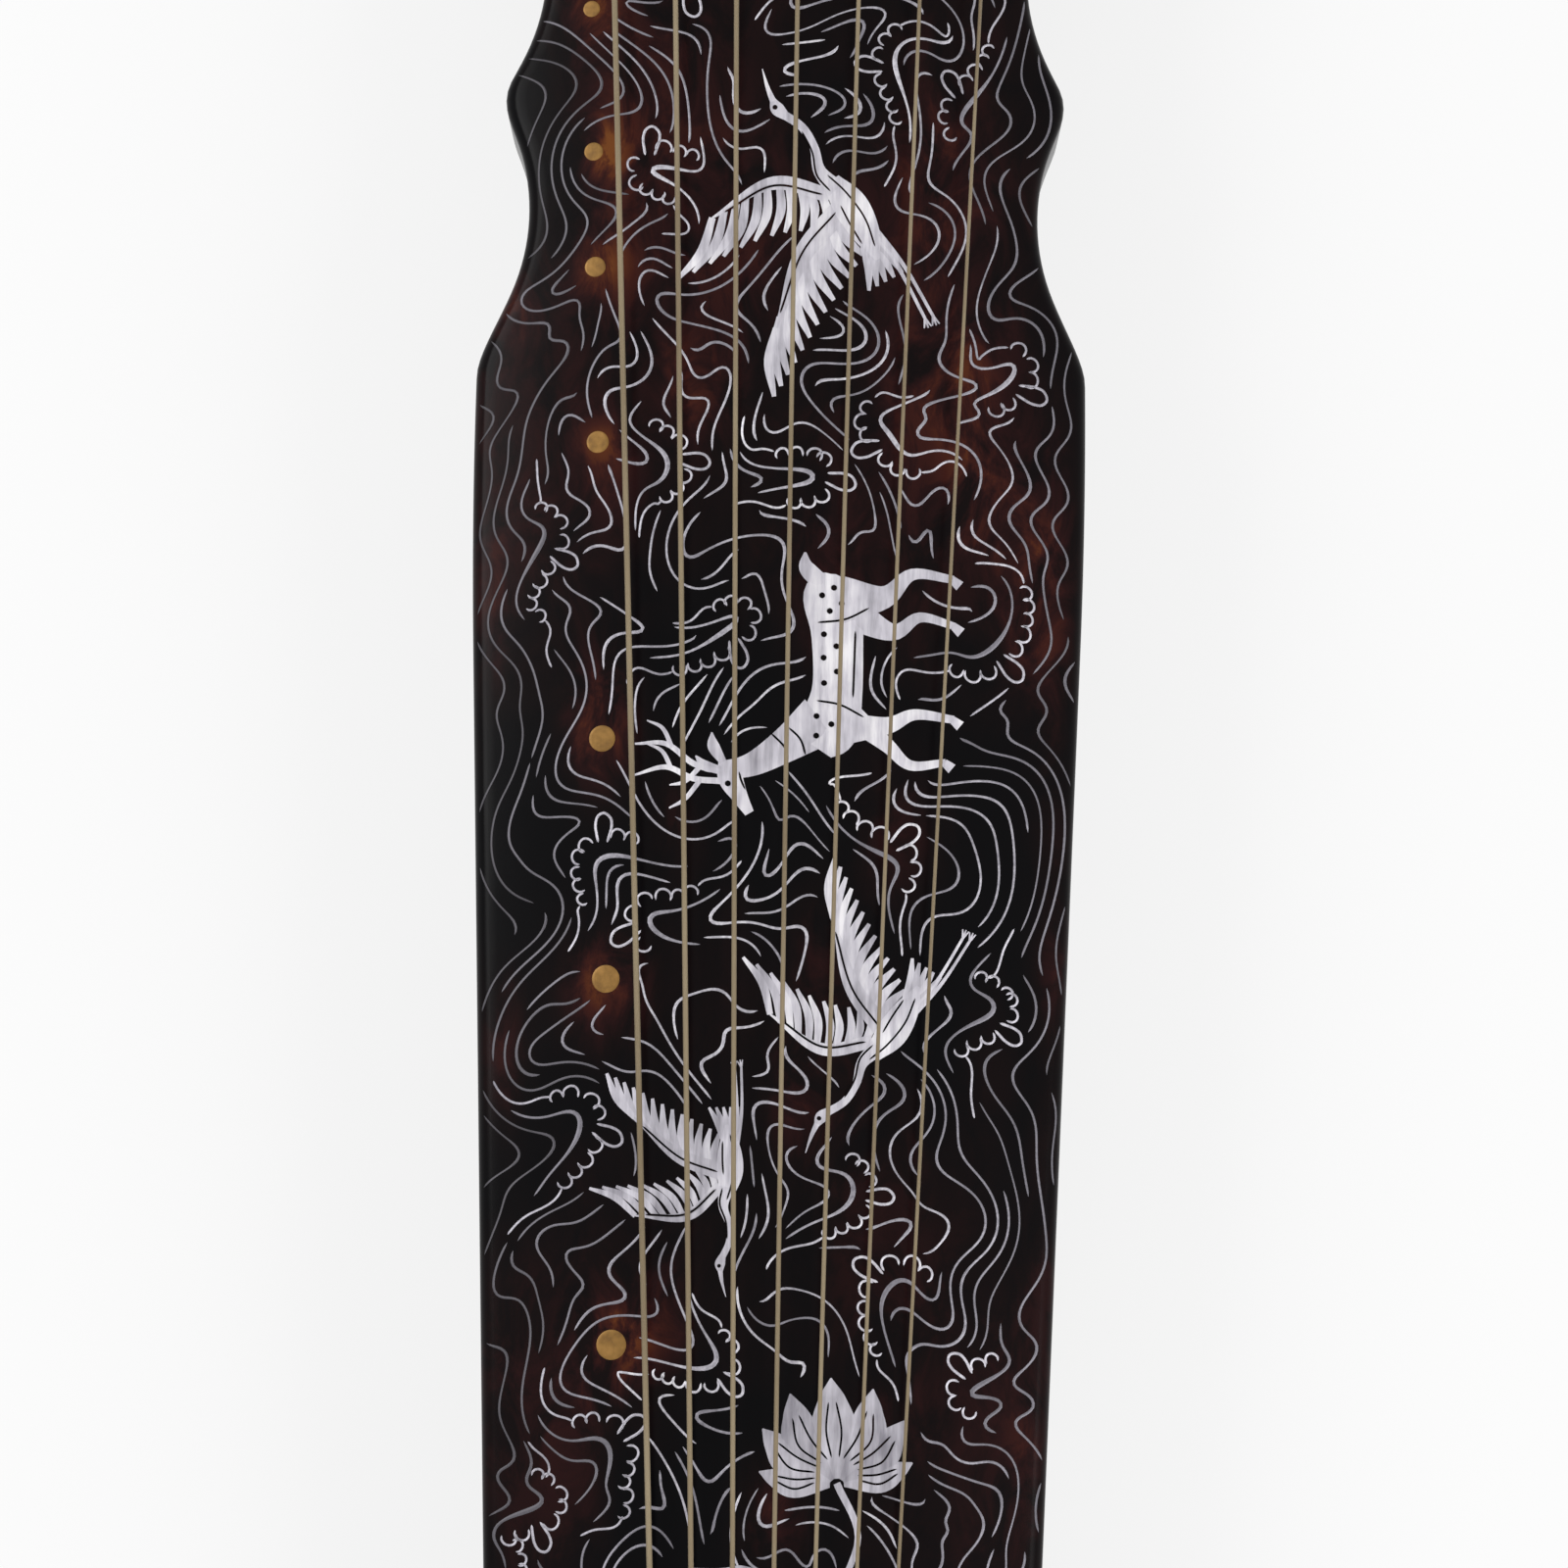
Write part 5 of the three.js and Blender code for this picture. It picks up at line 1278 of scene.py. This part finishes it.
def peg_skin(x):
    """A turned shape whose handle has shallow flutes: its radius falls by the flutes' depth times
    (1 + cos(flutes a)) / 2, and they fade in and out along the handle. A bore runs down from the head."""
    z_share = np.concatenate([
        [0.0, 0.004], np.linspace(0.012, 0.066, 4), np.linspace(0.07, 0.11, 6), np.linspace(0.13, 0.23, 5),
        np.linspace(0.24, 0.31, 8), np.linspace(0.33, 0.9, 28), np.linspace(0.92, 0.985, 6), [0.996, 1.0],
    ])
    r_share = np.interp(z_share, peg_shares[:, 1], peg_shares[:, 0])
    r_share[0], r_share[-2] = 0.96, 0.3
    flute = ease((z_share - 0.33) / 0.06) * ease((0.90 - z_share) / 0.06)
    angle = np.linspace(0, 2 * np.pi, 49)[:-1]
    cut = flute_depth * flute[:, None] * (1 + np.cos(flutes * angle)) / 2
    radius = peg_radius * r_share[:, None] * (1 - cut)
    z = peg_top - peg_length * z_share
    bore = np.array([0.0, bore_radius, bore_radius])[:, None] + 0 * angle
    bore_z = np.array([peg_top - bore_depth, peg_top - bore_depth, peg_top])
    radius, z = np.concatenate([bore, radius]), np.concatenate([bore_z, z])
    return skin(np.stack(np.broadcast_arrays(
        x + radius * np.cos(angle), peg_row_y + radius * np.sin(angle), z[:, None],
    ), -1), "open")


for k, x in enumerate(bridge_xs):
    peg = add_mesh(f"peg_{k + 1}_turning", *peg_skin(x))
    finish_piece(peg, rosewood_upright, "hardwood", f"peg_{k + 1}", body=f"peg_{k + 1}")


# Tuning loops
# The rongkou: a dark red silk cord of two twisted plies for each string. It holds the string's knot
# behind the bridge, dives through the plate and the head, and is fastened in its peg, round whose
# neck its end is wound.
def carried_frames(path):
    """Unit directions of a path and two arms square to it, carried along without twist: each arm is the
    last one less its part along the new direction."""
    along = np.gradient(path, axis=0)
    along /= np.linalg.norm(along, axis=1)[:, None]
    arm = np.array([1.0, 0, 0]) - along[0, 0] * along[0]
    arms = [arm / np.linalg.norm(arm)]
    for direction in along[1:]:
        arm = arms[-1] - direction * (arms[-1] @ direction)
        arms.append(arm / np.linalg.norm(arm))
    first = np.array(arms)
    return along, first, np.cross(along, first)


def tube(path, radii, sides):
    """A round skin of the given radius at each point of a path, closed at both ends."""
    _, first, second = carried_frames(path)
    angle = np.linspace(0, 2 * np.pi, sides + 1)[:-1][None, :, None]
    rim = first[:, None] * np.cos(angle) + second[:, None] * np.sin(angle)
    return skin(path[:, None] + rim * np.asarray(radii)[:, None, None])


def rounded_route(corners, reaches, steps=8):
    """Straight runs whose corners are bent as (1-t)^2 a + 2t(1-t) corner + t^2 b, where a and b lie a
    reach before and after the corner."""
    corners = np.asarray(corners, float)
    route = [corners[:1]]
    t = np.linspace(0, 1, steps + 1)[:, None]
    for k in range(1, len(corners) - 1):
        to_last, to_next = corners[k - 1] - corners[k], corners[k + 1] - corners[k]
        a = corners[k] + to_last * reaches[k] / np.linalg.norm(to_last)
        b = corners[k] + to_next * reaches[k] / np.linalg.norm(to_next)
        route.append((1 - t) ** 2 * a + 2 * t * (1 - t) * corners[k] + t * t * b)
    return np.concatenate(route + [corners[-1:]])


def two_ply(path, ply, pitch, sides=10):
    """Two tubes twisted about a path, each offset by 0.92 of its radius: the offset turns once a pitch."""
    path = resampled(path, pitch / 14)
    _, first, second = carried_frames(path)
    turn = 2 * np.pi * lengths(path) / pitch
    strands = []
    for start in (0, np.pi):
        arm = first * np.cos(turn + start)[:, None] + second * np.sin(turn + start)[:, None]
        strands.append(tube(path + arm * ply * 0.92, np.full(len(path), ply), sides))
    return gathered(strands)


def silk_finish(name, low, high, sheen):
    """Twisted silk: fine fibres that run round the cord and soft changes of colour, with a sheen."""
    made, tree, shader = new_material(name, Roughness=0.55, Specular_IOR_Level=0.25, Sheen_Weight=sheen)
    fibre = object_noise(tree, 5200, detail=2)
    shade = object_noise(tree, 160, detail=3)
    fine, broad = math_of(tree, "MULTIPLY", fibre, 0.55), math_of(tree, "MULTIPLY", shade, 0.45)
    mixed = math_of(tree, "ADD", fine, broad)
    colour = ramp(tree, mixed, [(0.36, low), (0.62, high)])
    tree.links.new(colour, shader.inputs["Base Color"])
    bump(tree, shader, fibre, 0.00008, 0.6)
    return made


loop_silk = silk_finish("dark_red_silk", (0.10, 0.010, 0.010), (0.27, 0.035, 0.028), 0.3)
ply_radius, ply_pitch = 0.00078, 0.0052
string_diameters = np.array([1.8, 1.65, 1.55, 1.45, 1.35, 1.2, 1.1]) / 1000
string_gap = 0.0003
knot_y, knot_drop = bridge_y + bridge_top_length + 0.0034, 0.00105
loop_start_y, loop_drop, loop_end = knot_y + 0.0015, 0.0039, 0.0383
coil_turns, coil_pitch, coil_low = 3.4, 0.00155, 0.0392
coil_radius = peg_radius * neck_share + ply_radius
for k, x in enumerate(bridge_xs):
    over_bridge = float(bridge_top(x)) + string_gap + string_diameters[k] / 2
    mouth = float(arch_height(x, 0)) + plate_proud + 0.003
    route = rounded_route([
        (x, loop_start_y, over_bridge - knot_drop - loop_drop),
        (x, peg_row_y, mouth),
        (x, peg_row_y, loop_end),
    ], [0, 0.003])
    loop = add_mesh(f"tuning_loop_{k + 1}_cord", *two_ply(route, ply_radius, ply_pitch), sharp=60)
    finish_piece(loop, loop_silk, "loop_silk", f"tuning_loop_{k + 1}")
    turns = np.linspace(0, coil_turns, 3 * 32)
    coil = np.stack([
        x + coil_radius * np.cos(2 * np.pi * turns),
        peg_row_y + coil_radius * np.sin(2 * np.pi * turns),
        coil_low + coil_pitch * turns,
    ], 1)
    wrap = add_mesh(f"peg_{k + 1}_silk_wrap", *tube(coil, np.full(len(coil), ply_radius), 10), sharp=60)
    finish_piece(wrap, loop_silk, "loop_silk", body=f"peg_{k + 1}")


# Strings
# Seven wound strings of straw silk, thickest first. Each is knotted behind the bridge, runs over it and
# over the nut, turns down and under the tail, and is wound twice round its foot.
thread_pitch = 0.00028


def string_finish():
    """Straw-coloured silk wound with a fine thread: rings a thread's pitch apart along the string's own
    length, which its attribute along holds in metres."""
    finish = {"Roughness": 0.42, "Specular_IOR_Level": 0.35, "Sheen_Weight": 0.15}
    made, tree, shader = new_material("string_silk", **finish)
    along = node(tree, "Attribute", {}, attribute_name="along").outputs["Fac"]
    wound = math_of(tree, "SINE", math_of(tree, "MULTIPLY", along, 2 * math.pi / thread_pitch), 0.0)
    shade = object_noise(tree, 60, (1, 0.2, 1), detail=4)
    colour = ramp(tree, shade, [
        (0.3, (0.185, 0.135, 0.074)), (0.55, (0.275, 0.213, 0.125)), (0.8, (0.345, 0.277, 0.172)),
    ])
    tree.links.new(colour, shader.inputs["Base Color"])
    bump(tree, shader, wound, 0.00006, 0.5)
    return made


nut_pitch = 0.0059
winding_turns, winding_gap = 2, 0.0005
first_on_right_foot = 4
# A winding starts right under the board, or under that of the string before on the same foot
entry_heights = []
for k, diameter in enumerate(string_diameters):
    if k in (0, first_on_right_foot):
        height = underside - winding_gap - diameter / 2
    else:
        above = string_diameters[k - 1]
        height -= winding_turns * (above + winding_gap) + (above + diameter) / 2 + winding_gap
    entry_heights.append(height)


def string_course(k):
    """The centre line of a string: knot, bridge, nut, tail end, lower nut, then a falling winding of two
    turns round the foot, x = foot - side R cos a, y = foot + R sin a."""
    diameter = string_diameters[k]
    lift = string_gap + diameter / 2
    head_x, tail_x = bridge_xs[k], band_x + (k - 3) * nut_pitch
    over = float(bridge_top(head_x)) + lift
    side = -1 if k < first_on_right_foot else 1
    winding_radius = neck_radius + lift
    end_y, under = nut_end - lift, lower_nut_bottom - lift
    entry = entry_heights[k]
    route = rounded_route([
        (head_x, knot_y, over - knot_drop),
        (head_x, bridge_y + bridge_top_length, over),
        (head_x, bridge_y, over),
        (tail_x, nut_y, nut_top + lift),
        (tail_x, end_y, nut_top + lift),
        (tail_x, end_y, under),
        (tail_x, lower_nut_front, under),
        (side * foot_x - side * winding_radius, foot_y, entry),
    ], [0, bridge_round, bridge_round, bridge_round, nut_round, lower_nut_round, bridge_round])
    turns = np.linspace(0, winding_turns, 97)[1:]
    angle = 2 * np.pi * turns
    winding = np.stack([
        side * foot_x - side * winding_radius * np.cos(angle),
        foot_y + winding_radius * np.sin(angle),
        entry - (diameter + winding_gap) * turns,
    ], 1)
    return np.concatenate([route, winding])


knot_size = 0.00046


def knot_path(middle):
    """A small trefoil: (sin t + 2 sin 2t, -1.6 sin 3t, cos t - 2 cos 2t) times its size."""
    t = np.linspace(0, 2 * np.pi, 49)[:-1]
    shape = np.stack([np.sin(t) + 2 * np.sin(2 * t), -1.6 * np.sin(3 * t), np.cos(t) - 2 * np.cos(2 * t)], 1)
    return middle + shape * knot_size


knot_cord_radius = 0.00066
string_silk = string_finish()
for k in range(7):
    course = string_course(k)
    cord = tube(course, np.full(len(course), string_diameters[k] / 2), 12)
    knot = knot_path(course[0])
    loop = np.concatenate([knot[-1:], knot, knot[:1]])
    _, first, second = carried_frames(loop)
    angle = np.linspace(0, 2 * np.pi, 11)[:-1][None, :, None]
    rim = (first[1:-1, None] * np.cos(angle) + second[1:-1, None] * np.sin(angle)) * knot_cord_radius
    whole = gathered([cord, skin(knot[:, None] + rim, "joined")])
    string = add_mesh(f"string_{k + 1}_wound", *whole, sharp=60)
    nearest = np.linalg.norm(points_of(string)[:, None] - course, axis=2).argmin(axis=1)
    store(string.data, "along", lengths(course)[nearest])
    finish_piece(string, string_silk, "string_silk", f"string_{k + 1}")


# Floor, light and camera
# A plain white floor that keeps the shadow, two soft lamps, a white surround, and the photograph's
# view from above.
def seen_directly(tree):
    """1 for what the camera sees, also in metal and through glass, and 0 for light on the object."""
    rays = node(tree, "LightPath", {})
    seen = math_of(tree, "MAXIMUM", rays.outputs["Is Camera Ray"], rays.outputs["Is Glossy Ray"])
    return math_of(tree, "MAXIMUM", seen, rays.outputs["Is Transmission Ray"])


def floor_finish():
    """Near-white, and most of what the camera sees is plain white, so that the shadow stays faint."""
    finish = {"Base_Color": (0.86, 0.86, 0.86, 1), "Roughness": 0.9, "Specular_IOR_Level": 0.0}
    made, tree, shader = new_material("white_floor", **finish)
    white = node(tree, "Emission", {"Color": (1, 1, 1, 1), "Strength": 1.0}).outputs["Emission"]
    share = math_of(tree, "MULTIPLY", seen_directly(tree), 0.78)
    mix = node(tree, "MixShader", {0: share, 1: shader.outputs["BSDF"], 2: white})
    tree.links.new(mix.outputs["Shader"], tree.nodes["Material Output"].inputs["Surface"])
    return made


floor_mesh = bpy.data.meshes.new("floor")
floor_mesh.from_pydata([(-8, -8, 0), (8, -8, 0), (8, 8, 0), (-8, 8, 0)], [], [(0, 1, 2, 3)])
floor_mesh.materials.append(floor_finish())
floor = placed("floor", floor_mesh)

world = bpy.data.worlds.new("white_surround")
bpy.context.scene.world = world
world.use_nodes = True
sky = world.node_tree
strength = remap(sky, seen_directly(sky), (0, 1), (0.42, 1.0))
sky.nodes["Background"].inputs["Color"].default_value = (1, 1, 1, 1)
sky.links.new(strength, sky.nodes["Background"].inputs["Strength"])

for lamp_name, place, aim, size, power in [
    ("left_lamp", (-2.0, 0.9, 1.9), (0, 0.1, 0.06), 1.4, 40),
    ("right_lamp", (2.1, -1.0, 1.8), (0, -0.1, 0.06), 1.6, 48),
]:
    lamp_data = bpy.data.lights.new(lamp_name, "AREA")
    lamp_data.size, lamp_data.energy = size, power
    lamp = placed(lamp_name, lamp_data)
    lamp.location = place
    lamp.rotation_euler = (lamp.location - type(lamp.location)(aim)).to_track_quat("Z", "Y").to_euler()

camera_data = bpy.data.cameras.new("camera")
camera_data.lens, camera_data.sensor_width, camera_data.clip_start = 111.2, 36, 0.05
camera = placed("camera", camera_data)
camera.location = (0.0055, -0.0213, 1.5753)
camera.rotation_euler = (0.11403, 0, 0.015)
bpy.context.scene.camera = camera
bpy.context.scene.view_settings.view_transform = "Standard"
